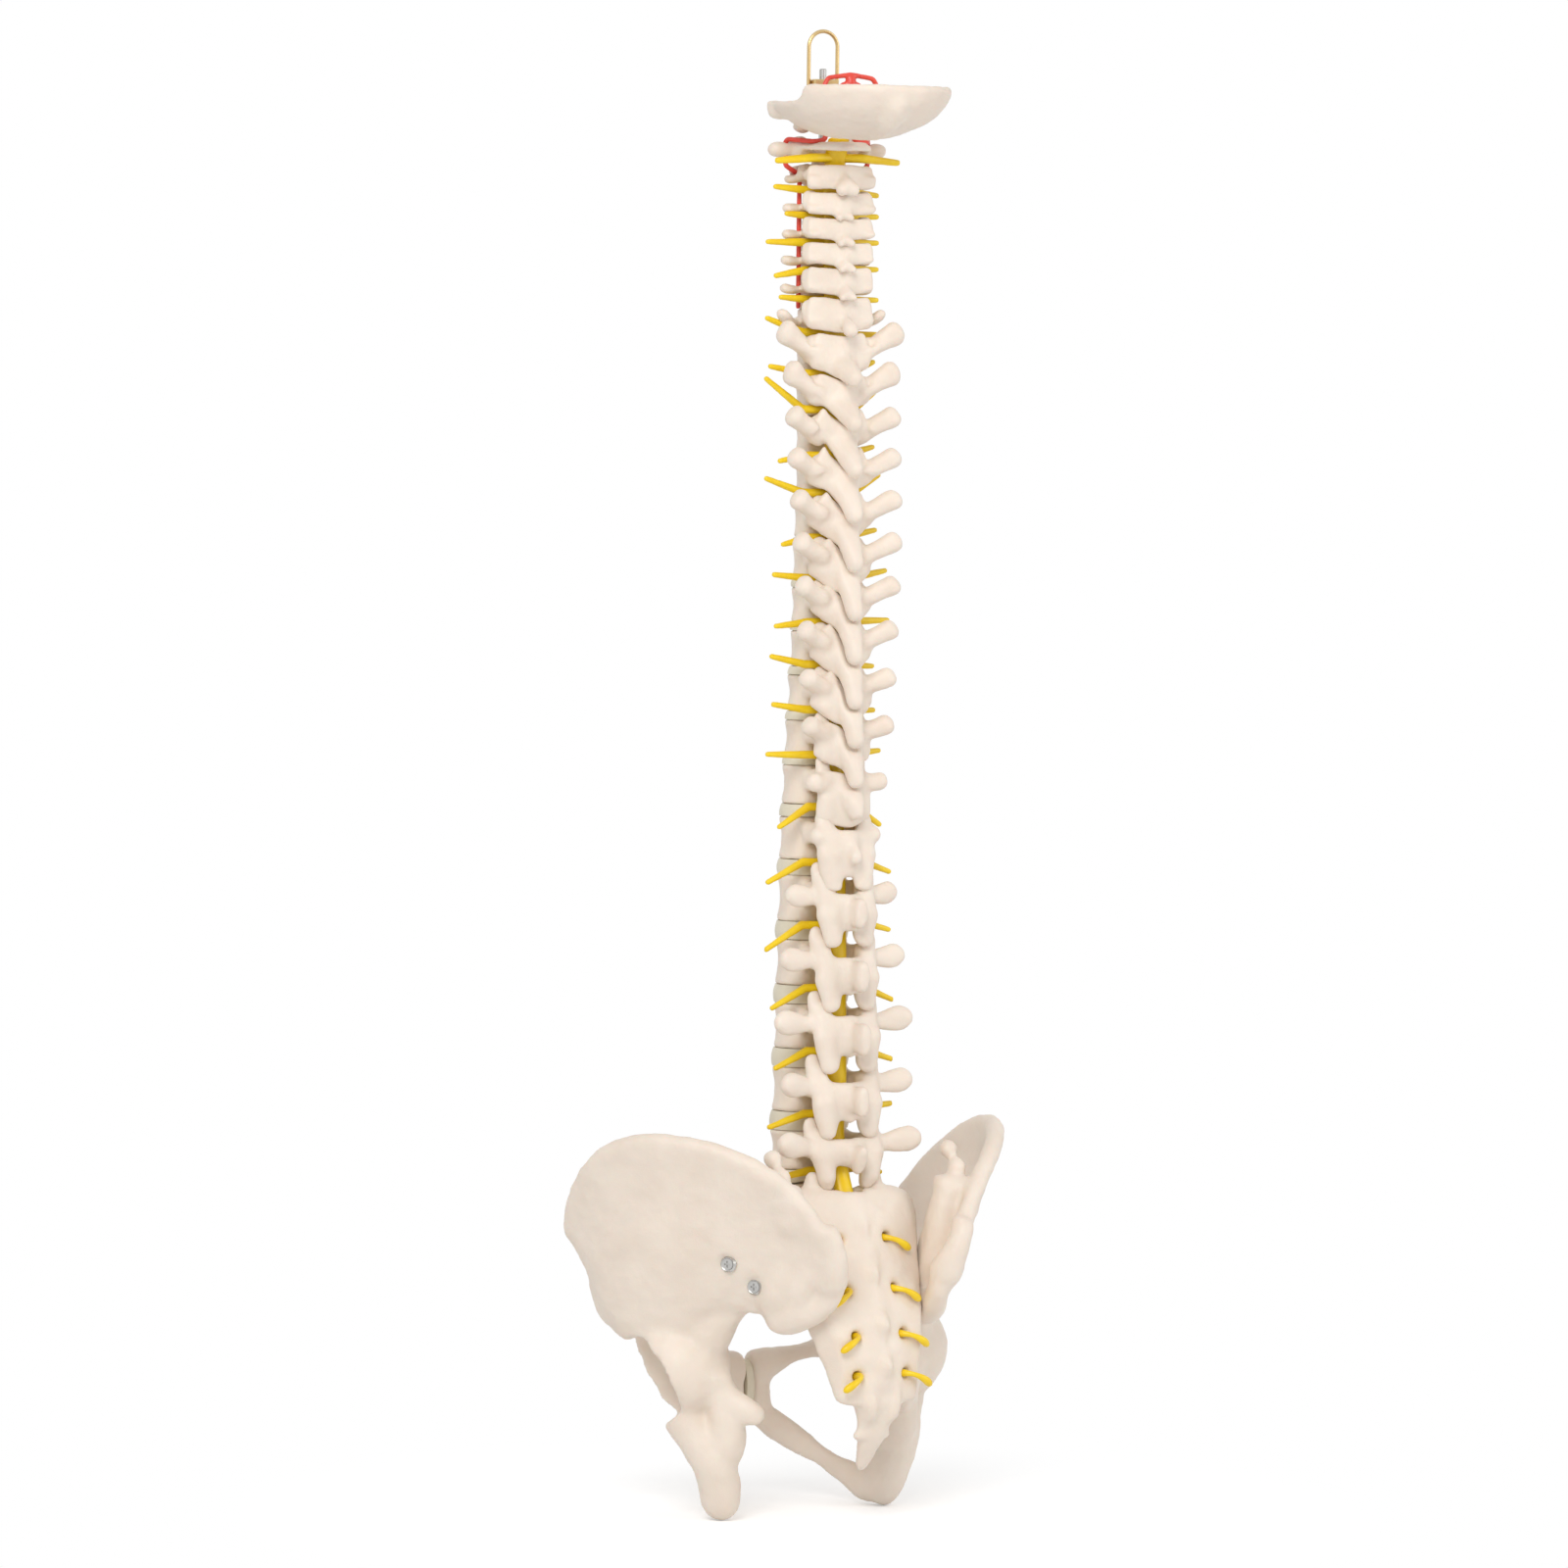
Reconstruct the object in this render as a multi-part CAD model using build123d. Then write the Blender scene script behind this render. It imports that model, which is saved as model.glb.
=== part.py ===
from build123d import *
import os
from math import atan2, copysign, cos, exp, pi, radians, sin
from types import SimpleNamespace

# Spine anatomy model that hangs by a brass loop, in millimetres.
# The loop's inner top, where a hook bears, is the origin. +Z is up, +Y is the front
# of the body and +X its right-hand side. The rod through the bodies lies on the Z axis.
os.makedirs("parts", exist_ok=True)

# General clearances
FIT = 0.3            # between pieces that pass through or lie against each other
FACET_GAP = 0.5      # between the joint facets of neighbouring vertebrae
SPINE_GAP = 3.0      # between the spinous processes of neighbouring vertebrae

# Hanger and rod
LOOP_WIRE = 2.2
LOOP_WIDTH = 20.0
LOOP_PIN = 3.0
LOOP_CORNER = 1.15
BLOCK_DROP = 26.0
BLOCK_DEPTH = 11.0
BLOCK_HEIGHT = 15.0
BLOCK_CHAMFER = 0.8
PIN_DROP = 8.0
THREAD_WIDTH = 4.0
THREAD_STANDS = 6.0
CORE_WIDTH = 8.0
CORE_TAIL = 42.0
NUT_FLATS = 13.0
NUT_HEIGHT = 6.5
TOP_NUT_FLATS = 7.0
TOP_NUT_HEIGHT = 3.2

# Occipital plate
RIM_DROP = 30.0
BOWL_DEPTH = 31.0
BOWL_HALF_WIDTH = 52.0
BOWL_HALF_LENGTH = 55.0
BOWL_BACK = 47.0
BOWL_WALL = 5.0
SEAT_WIDTH = 19.0
SEAT_WALL = 7.0
FORAMEN_BACK = 24.0
FORAMEN_WIDTH = 27.0
FORAMEN_LENGTH = 30.0

# Atlas and axis
ATLAS_DROP = 66.0
ATLAS_HEIGHT = 9.0
ATLAS_SPAN = 39.0
ATLAS_RING_WIDTH = 46.0
ATLAS_RING_LENGTH = 44.0
ATLAS_ARCH = 7.0
ARCH_HEIGHT = 5.0    # of the atlas's rear arch, which leaves room for the first nerves
MASS_SIDE = 17.0
ATLAS_HOLE = (26.0, -6.0)
AXIS_BASE_DROP = 90.0
AXIS_HEIGHT = 15.0
DENS_WIDTH = 11.0
DENS_HEIGHT = 13.0

# Sizes at landmark vertebrae, the ones between lie on a line between their neighbours
BODY_WIDTH = {"c2": 20, "c7": 27, "t1": 29, "t4": 27, "t8": 30, "t12": 41, "l3": 45, "l5": 49}
BODY_DEPTH = {"c2": 15, "c7": 17, "t1": 18, "t4": 20, "t8": 25, "t12": 31, "l3": 33, "l5": 33}
BODY_HEIGHT = {"c3": 10.7, "c5": 11.2, "c7": 15.7, "t1": 18.7, "t3": 18.7, "t9": 20.9,
               "t10": 20.4, "t12": 24.5, "l1": 26.5, "l4": 25.5, "l5": 22.5}
DISC_HEIGHT = {"c2": 3.8, "t4": 3.8, "t9": 4.6, "t10": 5, "t12": 8.5, "l1": 10, "l5": 10.5}
CANAL_WIDTH = {"c2": 23, "c7": 22, "t2": 17, "t10": 17, "l1": 21, "l5": 25}
CANAL_DEPTH = {"c2": 15, "c7": 14, "t2": 15, "t10": 15, "l1": 16, "l5": 16}
PEDICLE_WIDTH = {"c2": 6, "c7": 6, "t1": 7, "t5": 6, "t12": 8, "l1": 9, "l5": 13}
PEDICLE_HEIGHT = {"c2": 6, "c7": 7, "t1": 9, "t12": 14, "l1": 14, "l5": 13}
LAMINA_HEIGHT = {"c2": 12, "c3": 12.5, "c6": 13, "c7": 16, "t1": 17, "t6": 18, "t10": 19,
                 "t11": 23, "t12": 22, "l1": 19, "l3": 20, "l5": 15}
LAMINA_RISE = {"c2": 2, "c7": 2, "t4": 1, "t6": -4, "t12": -6, "l1": -5, "l4": -3, "l5": 1}
LAMINA_WALL = {"c2": 4, "c7": 5, "t6": 6, "l1": 7, "l5": 8}
FACET_SIDE = {"c2": 17, "c7": 17, "t1": 14, "t3": 12, "t12": 12, "l1": 13, "l5": 18}
FACET_WIDTH = {"c2": 11, "c7": 11, "t1": 11, "t12": 9, "l1": 8, "l5": 10}
SPAN = {"c2": 25, "c3": 26, "c6": 28, "c7": 33, "t1": 39, "t2": 36, "t6": 34, "t10": 29,
        "t12": 22, "l1": 38, "l3": 48, "l4": 46, "l5": 51}
TIP_BACK = {"c2": 6, "c6": 8, "c7": 15, "t1": 25, "t6": 34, "t10": 35, "t12": 33,
            "l1": 29, "l3": 32, "l5": 38}
TIP_RISE = {"c2": 0, "c6": 1, "c7": 6, "t1": 13, "t8": 11, "t10": 8, "t11": 3, "t12": 3,
            "l3": 5, "l5": 7}
SPINE_BACK = {"c2": 36, "c3": 31, "c6": 35, "c7": 41, "t1": 45, "t6": 46, "t12": 47,
              "l1": 51, "l3": 55, "l5": 50}
SPINE_RISE = {"c2": -4, "c6": -3, "c7": -5, "t1": -11, "t4": -21, "t6": -29, "t8": -30,
              "t10": -24, "t11": -15, "t12": -10, "l1": -7, "l5": -4}
NERVE_REACH = {"c2": 34, "c7": 35, "t1": 38, "t12": 38, "l3": 41, "l5": 38}
NERVE_BACK = {"c2": 8, "c7": 10, "t1": 14, "t12": 17, "l5": 20}
NERVE_DROOP = {"c2": 0, "c7": 5, "t2": -6, "t3": 14, "t4": 0, "t5": 13, "t7": 11, "t8": 2,
               "t10": 2, "t11": 12, "t12": 2, "l1": 12, "l2": 2, "l3": 8, "l5": 6}
CORD_WIDTH = {"c2": 13, "c7": 12, "t2": 10, "t12": 11, "l2": 13, "l5": 13}
CORD_DEPTH = 10.0
FIRST_NERVE = (37.5, -20.0, -70.5)
NERVE_ROOT = 4.4
NERVE_TIP = 2.8
ARTERY_WIDTH = 3.0
ARTERY_SIDE = 15.5
ARTERY_BACK = 3.0
ARTERY_BEND = 2.6
ARTERY_LEAVES = -80.0
ARCH_BACK = 36.0
ARCH_TOP = -24.0

# Sacrum and coccyx, measured from the middle of the sacrum's top
SACRUM_WIDTH = 106.0
SACRUM_DEPTH = 46.0
SACRUM_TILT = 24.0
BASE_TILT = 18.0
CREST_HALF = 3.2
SACRAL_HOLE_SIDE = 17.0
SACRAL_HOLE = 3.6
SACRAL_NERVE = 3.8
JOINT_FRONT = (55.0, -15.0)
JOINT_BACK = (39.0, -60.0)
JOINT_LEAN = 7.0

# Hip bones, measured from the same place
CREST_WALL = 11.0
BLADE_WALL = 5.0
BLADE_ROOT = 15.0
BLADE_BOW = 7.0
SOCKET_AT = (84.0, 20.0, -103.0)
SOCKET_AIM = (0.82, 0.35, -0.45)
SOCKET_RADIUS = 26.0
SOCKET_WALL = 6.0
SYMPHYSIS_GAP = 5.0
SYMPHYSIS_AT = (57.0, -121.0)
SYMPHYSIS_LENGTH = 32.0
SYMPHYSIS_DEPTH = 13.0

# Hip screws with their cup washers
SCREW_HEAD = 6.4
SCREW_SHANK = 3.6
SCREW_LENGTH = 30.0
WASHER_WIDTH = 9.5
WASHER_HEIGHT = 2.0
SCREWS_AT = ((75.0, -30.0, -37.0), (66.0, -39.0, -50.0))
SCREW_AIM = (-0.86, 0.5, 0.0)

# Holes in the back of the sacrum: how far back and how high
SACRAL_SPOTS = ((50.0, -26.0), (60.0, -54.0), (68.0, -79.0), (71.0, -101.0))

# Knobs on the back of the sacrum: how far aside, how far back and how high
CREST_KNOBS = ((47.0, -20.0), (58.0, -45.0), (67.0, -72.0), (71.0, -95.0))
SIDE_KNOBS = ((31.0, 46.0, -30.0), (29.0, 58.0, -55.0), (25.0, 67.0, -80.0))

# Edge of the right hip bone's wing from front to back, and the line it springs from
BLADE_RIM = ((117, 71, -24), (128, 48, 10), (131, 15, 33), (122, -18, 40), (98, -52, 33),
             (70, -73, 12), (44, -86, -33))
BLADE_ROOTS = ((97, 46, -80), (94, 34, -86), (90, 22, -88), (84, 8, -86), (76, -2, -78),
               (67, -12, -68), (57, -28, -66))

# The flexible core lets the column hang turned a little about the rod, most at the top
COLUMN_TURN = -13.0

CERVICAL = [f"c{n}" for n in range(2, 8)]
THORACIC = [f"t{n}" for n in range(1, 13)]
LUMBAR = [f"l{n}" for n in range(1, 6)]
LEVELS = CERVICAL + THORACIC + LUMBAR


def between(sizes, name):
    """Size at one level, on the line between the two landmarks beside it"""
    rank = LEVELS.index(name)
    marks = [(LEVELS.index(key), value) for key, value in sizes.items()]
    low = [mark for mark in marks if mark[0] <= rank] or marks[:1]
    high = [mark for mark in marks if mark[0] >= rank] or marks[-1:]
    (first, start), (last, end) = low[-1], high[0]
    if first == last:
        return start
    return start + (end - start) * (rank - first) / (last - first)


def limb(*stations, grow=0.0):
    """Limb through oval stations: x, y, z, half width across, half height"""
    spots = [Vector(*station[:3]) for station in stations]
    sizes = [(station[3] + grow, station[4] + grow) for station in stations]
    reach = spots[-1] - spots[-2]
    spots.append(spots[-1] + reach.normalized() * 0.5 * min(sizes[-1]))
    sizes.append((0.5 * sizes[-1][0], 0.5 * sizes[-1][1]))
    side = Vector(1, 0, 0)
    faces = []
    for k, (spot, size) in enumerate(zip(spots, sizes)):
        ahead = (spots[min(k + 1, len(spots) - 1)] - spots[max(k - 1, 0)]).normalized()
        across = ahead.cross(Vector(0, 0, 1))
        if across.length < 0.2:
            across = side
        if across.dot(side) < 0:
            across = across * -1
        side = across
        faces.append(Plane(origin=spot, x_dir=across, z_dir=ahead) * Ellipse(*size))
    return loft(faces)


def bean(width, depth, dent):
    """Outline of a vertebral body, dented at the back where the canal passes"""
    points = []
    for k in range(12):
        angle = 2 * pi * (k + 0.5) / 12
        x = width / 2 * copysign(abs(cos(angle)) ** 0.85, cos(angle))
        y = depth / 2 * copysign(abs(sin(angle)) ** 0.85, sin(angle))
        if y < 0:
            y += dent * exp(-((x / (0.22 * width)) ** 2))
        points.append((x, y))
    return make_face(Spline(*points, periodic=True))


def both(shape):
    """The shape and its mirror image on the other side of the body"""
    return [shape, mirror(shape, Plane.YZ)]


def level_sizes(name):
    """All sizes of one vertebra, measured from the middle of its body"""
    s = SimpleNamespace(name=name, region=name[0])
    s.width = between(BODY_WIDTH, name)
    s.depth = between(BODY_DEPTH, name)
    s.height = AXIS_HEIGHT if name == "c2" else between(BODY_HEIGHT, name)
    s.disc = between(DISC_HEIGHT, name)
    s.canal = between(CANAL_WIDTH, name)
    s.body_back = -s.depth / 2
    s.canal_back = s.body_back - between(CANAL_DEPTH, name)
    s.canal_middle = (s.body_back + s.canal_back) / 2
    s.wall = between(LAMINA_WALL, name)
    s.lamina = between(LAMINA_HEIGHT, name)
    s.lamina_rise = between(LAMINA_RISE, name)
    s.pedicle_width = between(PEDICLE_WIDTH, name)
    s.pedicle_height = between(PEDICLE_HEIGHT, name)
    s.pedicle_side = (s.canal + s.pedicle_width) / 2 - 1
    s.pedicle_rise = 0.14 * s.height
    s.facet_side = between(FACET_SIDE, name)
    s.facet_width = between(FACET_WIDTH, name)
    s.span = between(SPAN, name)
    s.tip_back = -between(TIP_BACK, name)
    s.tip_rise = between(TIP_RISE, name)
    s.spine_back = -between(SPINE_BACK, name)
    s.spine_rise = between(SPINE_RISE, name)
    s.nerve_reach = between(NERVE_REACH, name)
    s.nerve_back = -between(NERVE_BACK, name)
    s.nerve_droop = between(NERVE_DROOP, name)
    s.nerve_rise = -s.height / 2 + NERVE_ROOT / 2 - 0.5
    s.cord = between(CORD_WIDTH, name)
    return s


# The column is stacked downwards from the underside of the axis
SIZES = {name: level_sizes(name) for name in LEVELS}
underside = -AXIS_BASE_DROP
for level in SIZES.values():
    if level.name != "c2":
        underside -= level.height
    level.bottom = underside
    level.z = underside + level.height / 2
    underside -= level.disc
SACRUM_TOP = underside
BOWL_RIM = -RIM_DROP
BLOCK_TOP = -BLOCK_DROP
BLOCK_BOTTOM = BLOCK_TOP - BLOCK_HEIGHT
PLATE_UNDER = BLOCK_BOTTOM - SEAT_WALL


def turn(z):
    """Turn of the column about the rod at a height, none at the disc on the sacrum"""
    start = SIZES["l5"].bottom
    return COLUMN_TURN * max(0.0, z - start) / -start


def placed(shape, z):
    """Shape carried to its height in the column, with the column's turn there"""
    return Location((0, 0, z), (0, 0, turn(z))) * shape


def vertebral_body(s):
    dent = 0.09 * s.depth
    waist = 0.9 if s.region != "c" else 0.96
    ends = [(-s.height / 2, 1), (0, waist), (s.height / 2, 1)]
    return loft([Pos(0, 0, z) * bean(s.width * k, s.depth * k, dent) for z, k in ends])


def pedicle(s):
    half = (s.pedicle_width / 2, s.pedicle_height / 2)
    root = (s.pedicle_side - 1, s.body_back + 4, s.pedicle_rise)
    end = (s.facet_side, s.canal_back + 2, s.pedicle_rise)
    middle = [(a + b) / 2 for a, b in zip(root, end)]
    return limb((*root, half[0] + 1, half[1] + 1), (*middle, *half), (*end, *half))


def lamina(s):
    half = s.wall / 2
    low = s.lamina_rise
    return limb((s.facet_side, s.canal_back + 1.5, low + 1, half, 0.48 * s.lamina),
                (0.45 * s.facet_side, s.canal_back - half, low, half, 0.46 * s.lamina),
                (0, s.canal_back - s.wall, low - 1, half + 1, 0.44 * s.lamina))


def upper_facet(s, grow=0.0):
    """Joint process that rises in front of the one hanging from the vertebra above"""
    top = s.height / 2 + s.disc * 0.6 + 2
    half = s.facet_width / 2
    front = s.canal_back + 2.5
    side = s.facet_side + (3.5 if s.region == "l" else 0)
    return limb((side, front - 1, 0, half, 3.2), (side, front + 0.5, 0.5 * top, half, 2.8),
                (side, front + 1, top, 0.8 * half, 1.8), grow=grow)


def lower_facet(s, grow=0.0):
    bottom = -s.height / 2 - s.disc * 0.6 - 3
    half = s.facet_width / 2
    side = s.facet_side - (4 if s.region == "l" else 0)
    back = s.canal_back - 2.8
    return limb((side, back, s.lamina_rise, half, 3.2), (side, back, 0.6 * bottom, half, 2.8),
                    (side, back, bottom, 0.75 * half, 2), grow=grow)


def transverse_process(s):
    rise = s.pedicle_rise
    if s.region == "c":
        return limb((s.width / 2 - 3, -ARTERY_BACK, 0, 5, 3), (ARTERY_SIDE, -ARTERY_BACK, 0, 5, 3),
                    (0.5 * (ARTERY_SIDE + s.span), -0.5 * (ARTERY_BACK - s.tip_back), 0, 4.4, 2.8),
                    (s.span, s.tip_back, s.tip_rise, 3, 2.4))
    if s.region == "t":
        knob = 4.6
        return limb((s.facet_side - 2, s.canal_back + 1, rise, 4, 5),
                    (0.55 * s.span, 0.6 * s.tip_back + 0.4 * s.canal_back, 0.6 * s.tip_rise, 3.8, 4.2),
                    (s.span - knob, s.tip_back + 1, s.tip_rise - 1, knob, knob - 0.4),
                    (s.span - 1, s.tip_back, s.tip_rise, knob - 0.6, knob - 1))
    return limb((s.facet_side, s.canal_back + 5, rise, 5, 6),
                (0.55 * s.span, 0.5 * (s.tip_back + s.canal_back) + 2, 0.6 * s.tip_rise, 3.2, 5),
                (s.span - 3, s.tip_back + 0.5, s.tip_rise, 2.6, 5.4))


def spinous_process(s, grow=0.0):
    root = s.canal_back - s.wall + 1
    tip = s.spine_back + 2
    low = s.lamina_rise - 1
    slope = atan2(low - s.spine_rise, root - tip)
    room = 0.5 * (s.height + s.disc - SPINE_GAP) * cos(slope)
    half = {"c": 3.4, "t": 3.4, "l": 3.8}[s.region]
    deep = min(0.44 * s.lamina, 0.86 * room)
    end = min({"c": 3.2, "t": 4.0, "l": 9.0}[s.region], 0.8 * room)
    return limb((0, root, low, half + 0.6, deep),
                (0, 0.5 * (root + tip), 0.5 * (low + s.spine_rise), half, 0.5 * (deep + end)),
                (0, tip, s.spine_rise, half + 0.4, end), grow=grow)


def nerve(s, grow=0.0):
    """Nerve from the cord out through the gap below the pedicle"""
    root = NERVE_ROOT / 2
    tip = NERVE_TIP / 2
    z = s.nerve_rise
    passage = s.body_back - 0.36 * (s.body_back - s.canal_back)
    return limb((0.25 * s.cord, s.canal_middle, z, root, root),
                (0.5 * s.canal + 1, passage, z, root, root),
                (s.facet_side + 7, 0.5 * (passage + s.nerve_back), z - 0.25 * s.nerve_droop,
                 0.6 * root + 0.4 * tip, 0.6 * root + 0.4 * tip),
                (s.nerve_reach, s.nerve_back, z - s.nerve_droop, tip, tip), grow=grow)


def first_nerve():
    """Nerve that leaves the cord between the atlas and the axis"""
    reach, back, z = FIRST_NERVE
    root = NERVE_ROOT / 2
    tip = NERVE_TIP / 2
    return limb((2, back + 3, z, root, root), (0.4 * reach, back, z, root, root),
                (reach, back, z - 1.5, tip, tip))


def passages(s):
    """Openings of a vertebra: canal, rod hole, and room for nerves and the next facets"""
    tall = 3 * s.height
    canal = Pos(0, s.canal_middle, -tall / 2) * extrude(
        Ellipse(s.canal / 2, (s.body_back - s.canal_back) / 2), tall)
    rod = THREAD_WIDTH if s.name == "c2" else CORE_WIDTH
    cuts = [canal, Cylinder(rod / 2 + FIT, tall)]
    cuts += both(nerve(s, grow=FIT + 0.2))
    rank = LEVELS.index(s.name)
    if rank > 0:
        above = SIZES[LEVELS[rank - 1]]
        lift = above.z - s.z
        room = both(nerve(above, grow=FIT + 0.2)) + both(lower_facet(above, grow=FACET_GAP))
        if above.region == "t" or above.name == "c7":
            room.append(spinous_process(above, grow=FACET_GAP))
        cuts += [Pos(0, 0, lift) * shape for shape in room]
    if rank < len(LEVELS) - 1:
        below = SIZES[LEVELS[rank + 1]]
        drop = below.z - s.z
        cuts += [Pos(0, 0, drop) * shape for shape in both(upper_facet(below, grow=FACET_GAP))]
    if s.region == "c" and s.name != "c7":
        hole = Cylinder(ARTERY_WIDTH / 2 + 2 * FIT, tall)
        cuts += both(Pos(ARTERY_SIDE, -ARTERY_BACK, 0) * hole)
    return cuts


def vertebra(s):
    sides = [pedicle(s), lamina(s), upper_facet(s), lower_facet(s), transverse_process(s)]
    pieces = [half for side in sides for half in both(side)]
    bone = vertebral_body(s).fuse(*pieces, spinous_process(s))
    return bone.cut(*passages(s))


def axis(s):
    """Second neck vertebra, with the peg that the atlas turns on"""
    peg_base = s.height / 2
    peg = loft([Pos(0, 0, z) * Ellipse(k * DENS_WIDTH / 2, k * DENS_WIDTH / 2)
                for z, k in ((0, 1.3), (peg_base, 1), (peg_base + 0.8 * DENS_HEIGHT, 1),
                             (peg_base + DENS_HEIGHT, 0.7))])
    shoulder = limb((9, -2, 2, 6, 5), (MASS_SIDE - 1, -4, 5, 7, 4), (MASS_SIDE + 4, -4, 4, 5, 3))
    sides = [shoulder, pedicle(s), lamina(s), lower_facet(s), transverse_process(s)]
    horn = limb((1, s.spine_back + 8, -3, 3.5, 4), (4.5, s.spine_back + 1, s.spine_rise - 3, 2.6, 3))
    pieces = [half for side in sides + [horn] for half in both(side)]
    bone = vertebral_body(s).fuse(peg, *pieces, spinous_process(s))
    bore = ARTERY_WIDTH / 2 + 2 * FIT
    start = (ARTERY_SIDE, -ARTERY_BACK, ARTERY_LEAVES - s.z, bore, bore)
    tunnel = limb(start, (*ATLAS_HOLE, ARTERY_LEAVES + 5 - s.z, bore, bore))
    return bone.cut(*passages(s), *both(tunnel), *both(Pos(*start[:3]) * Sphere(bore)))


def atlas():
    """Ring of the first neck vertebra: two arches, two side masses and two wings"""
    outer = (ATLAS_RING_WIDTH / 2, ATLAS_RING_LENGTH / 2)
    inner = (outer[0] - ATLAS_ARCH, outer[1] - ATLAS_ARCH)
    back = 10 - outer[1]
    ring = Pos(0, back, 0) * loft([Pos(0, 0, z) * (Ellipse(outer[0] - k, outer[1] - k))
                                   for z, k in ((-ATLAS_HEIGHT / 2, 1.6), (0, 0), (ATLAS_HEIGHT / 2, 1.6))])
    opening = Pos(0, back, -ATLAS_HEIGHT) * extrude(Ellipse(*inner), 2 * ATLAS_HEIGHT)
    mass = limb((MASS_SIDE, -6, -5.5, 6, 8), (MASS_SIDE, -6, 0, 7, 9), (MASS_SIDE + 1, -6, 5, 5, 7))
    wing = limb((MASS_SIDE, -5, 0, 7, 5), (27, -6, 0, 6, 4.4), (ATLAS_SPAN - 4, -7, 0, 4, 3.6))
    knob = limb((0, back - outer[1] + 4, 0, 5, 4), (0, back - outer[1] - 1, 1, 3.4, 3))
    tall = 3 * ATLAS_HEIGHT
    bone = (ring - opening).fuse(*both(mass), *both(wing), knob)
    peg = Cylinder(DENS_WIDTH / 2 + 3 * FIT, tall)
    groove = Pos(0, 0, ATLAS_DROP) * artery_run(artery_route(1)[2:7], grow=2 * FIT)
    canal = Pos(0, SIZES["c2"].canal_middle, -tall / 2) * extrude(
        Ellipse(SIZES["c2"].canal / 2 - 1, 8), tall)
    shoulders = -AXIS_BASE_DROP + AXIS_HEIGHT / 2 + ATLAS_DROP + 9 + FIT
    under = Pos(0, 0, shoulders - ATLAS_HEIGHT) * Box(90, 90, 2 * ATLAS_HEIGHT)
    behind = Pos(0, -ATLAS_RING_LENGTH, -ATLAS_HEIGHT / 2 - ARCH_HEIGHT) * Box(90, 56, 2 * ATLAS_HEIGHT)
    return bone.cut(peg, canal, under, behind, *both(groove))


def bowl(grow):
    """Solid half of the egg-shaped skull base, grown outwards by an amount"""
    radius = 10.0
    ball = Sphere(radius) - Pos(0, 0, radius) * Box(4 * radius, 4 * radius, 2 * radius)
    size = (BOWL_HALF_WIDTH + grow, BOWL_HALF_LENGTH + grow, BOWL_DEPTH + grow)
    return scale(ball, tuple(half / radius for half in size))


def occipital_plate():
    """Curved base of the skull with its great opening and two joint knobs"""
    shell = bowl(0) - Pos(0, 0, 0.01) * bowl(-BOWL_WALL)
    middle = Pos(0, -BOWL_BACK, BOWL_RIM)
    seat = Pos(0, 0, BLOCK_BOTTOM - SEAT_WALL / 2) * Cylinder(SEAT_WIDTH / 2, SEAT_WALL)
    plate = (middle * shell) + seat
    condyle_top = BOWL_RIM - 0.55 * BOWL_DEPTH
    facing = -ATLAS_DROP + 8.2 + FIT
    knob = limb((MASS_SIDE + 1, -10, condyle_top - 4, 6, 9), (MASS_SIDE, -9, facing + 3, 5.5, 8),
                (MASS_SIDE, -9, facing + 2, 4, 6))
    wing = limb((36, -24, BOWL_RIM - 14, 7, 7), (46, -12, BOWL_RIM - 12, 5, 5), (50, -4, BOWL_RIM - 9, 3, 3))
    ridge = limb((0, -62, BOWL_RIM - BOWL_DEPTH + 2.5, 5, 3), (0, -84, BOWL_RIM - 24, 5, 3.4),
                 (0, -99, BOWL_RIM - 9, 4, 3))
    plate = plate.fuse(*both(knob), *both(wing), ridge)
    inside = middle * bowl(-BOWL_WALL) - seat
    upper = Pos(0, 0, BLOCK_BOTTOM + 20) * Cylinder(SEAT_WIDTH / 2, 40)
    great = Pos(0, -FORAMEN_BACK, BLOCK_BOTTOM - 50) * extrude(
        Ellipse(FORAMEN_WIDTH / 2, FORAMEN_LENGTH / 2), 60)
    rod = Cylinder(THREAD_WIDTH / 2 + FIT, 400)
    over = Pos(0, 0, BOWL_RIM + 10) * Box(200, 300, 20)
    spot = Pos(0, 0, PLATE_UNDER - 10) * Cylinder(0.7 * TOP_NUT_FLATS, 20)
    return plate.cut(inside, upper, great, rod, over, spot)


def artery_route(side):
    """Corners of one artery's way up through the neck, over the atlas and out of the plate"""
    return [(side * ARTERY_SIDE, -ARTERY_BACK, SIZES["c6"].bottom - 4),
            (side * ARTERY_SIDE, -ARTERY_BACK, ARTERY_LEAVES),
            (side * ATLAS_HOLE[0], ATLAS_HOLE[1], ARTERY_LEAVES + 5),
            (side * ATLAS_HOLE[0], ATLAS_HOLE[1], -ATLAS_DROP + 6),
            (side * 17, -FORAMEN_BACK + 1, -ATLAS_DROP + 4.5),
            (side * 8.6, -FORAMEN_BACK + 2, -ATLAS_DROP + 5.5),
            (side * 9, -FORAMEN_BACK, BOWL_RIM - 14),
            (side * 19, -ARCH_BACK, BOWL_RIM - 5),
            (side * 14, -ARCH_BACK, ARCH_TOP - 2),
            (0, -ARCH_BACK, ARCH_TOP)]


def artery_run(points, grow=0.0):
    """Round tube along straight runs joined by arcs"""
    line = FilletPolyline(*points, radius=ARTERY_BEND)
    return sweep(Plane(origin=line @ 0, z_dir=line % 0) * Circle(ARTERY_WIDTH / 2 + grow), path=line)


def column_point(x, y, z):
    """Place in the column, turned as the column is at that height"""
    angle = radians(turn(z))
    return (x * cos(angle) - y * sin(angle), x * sin(angle) + y * cos(angle), z)


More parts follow.
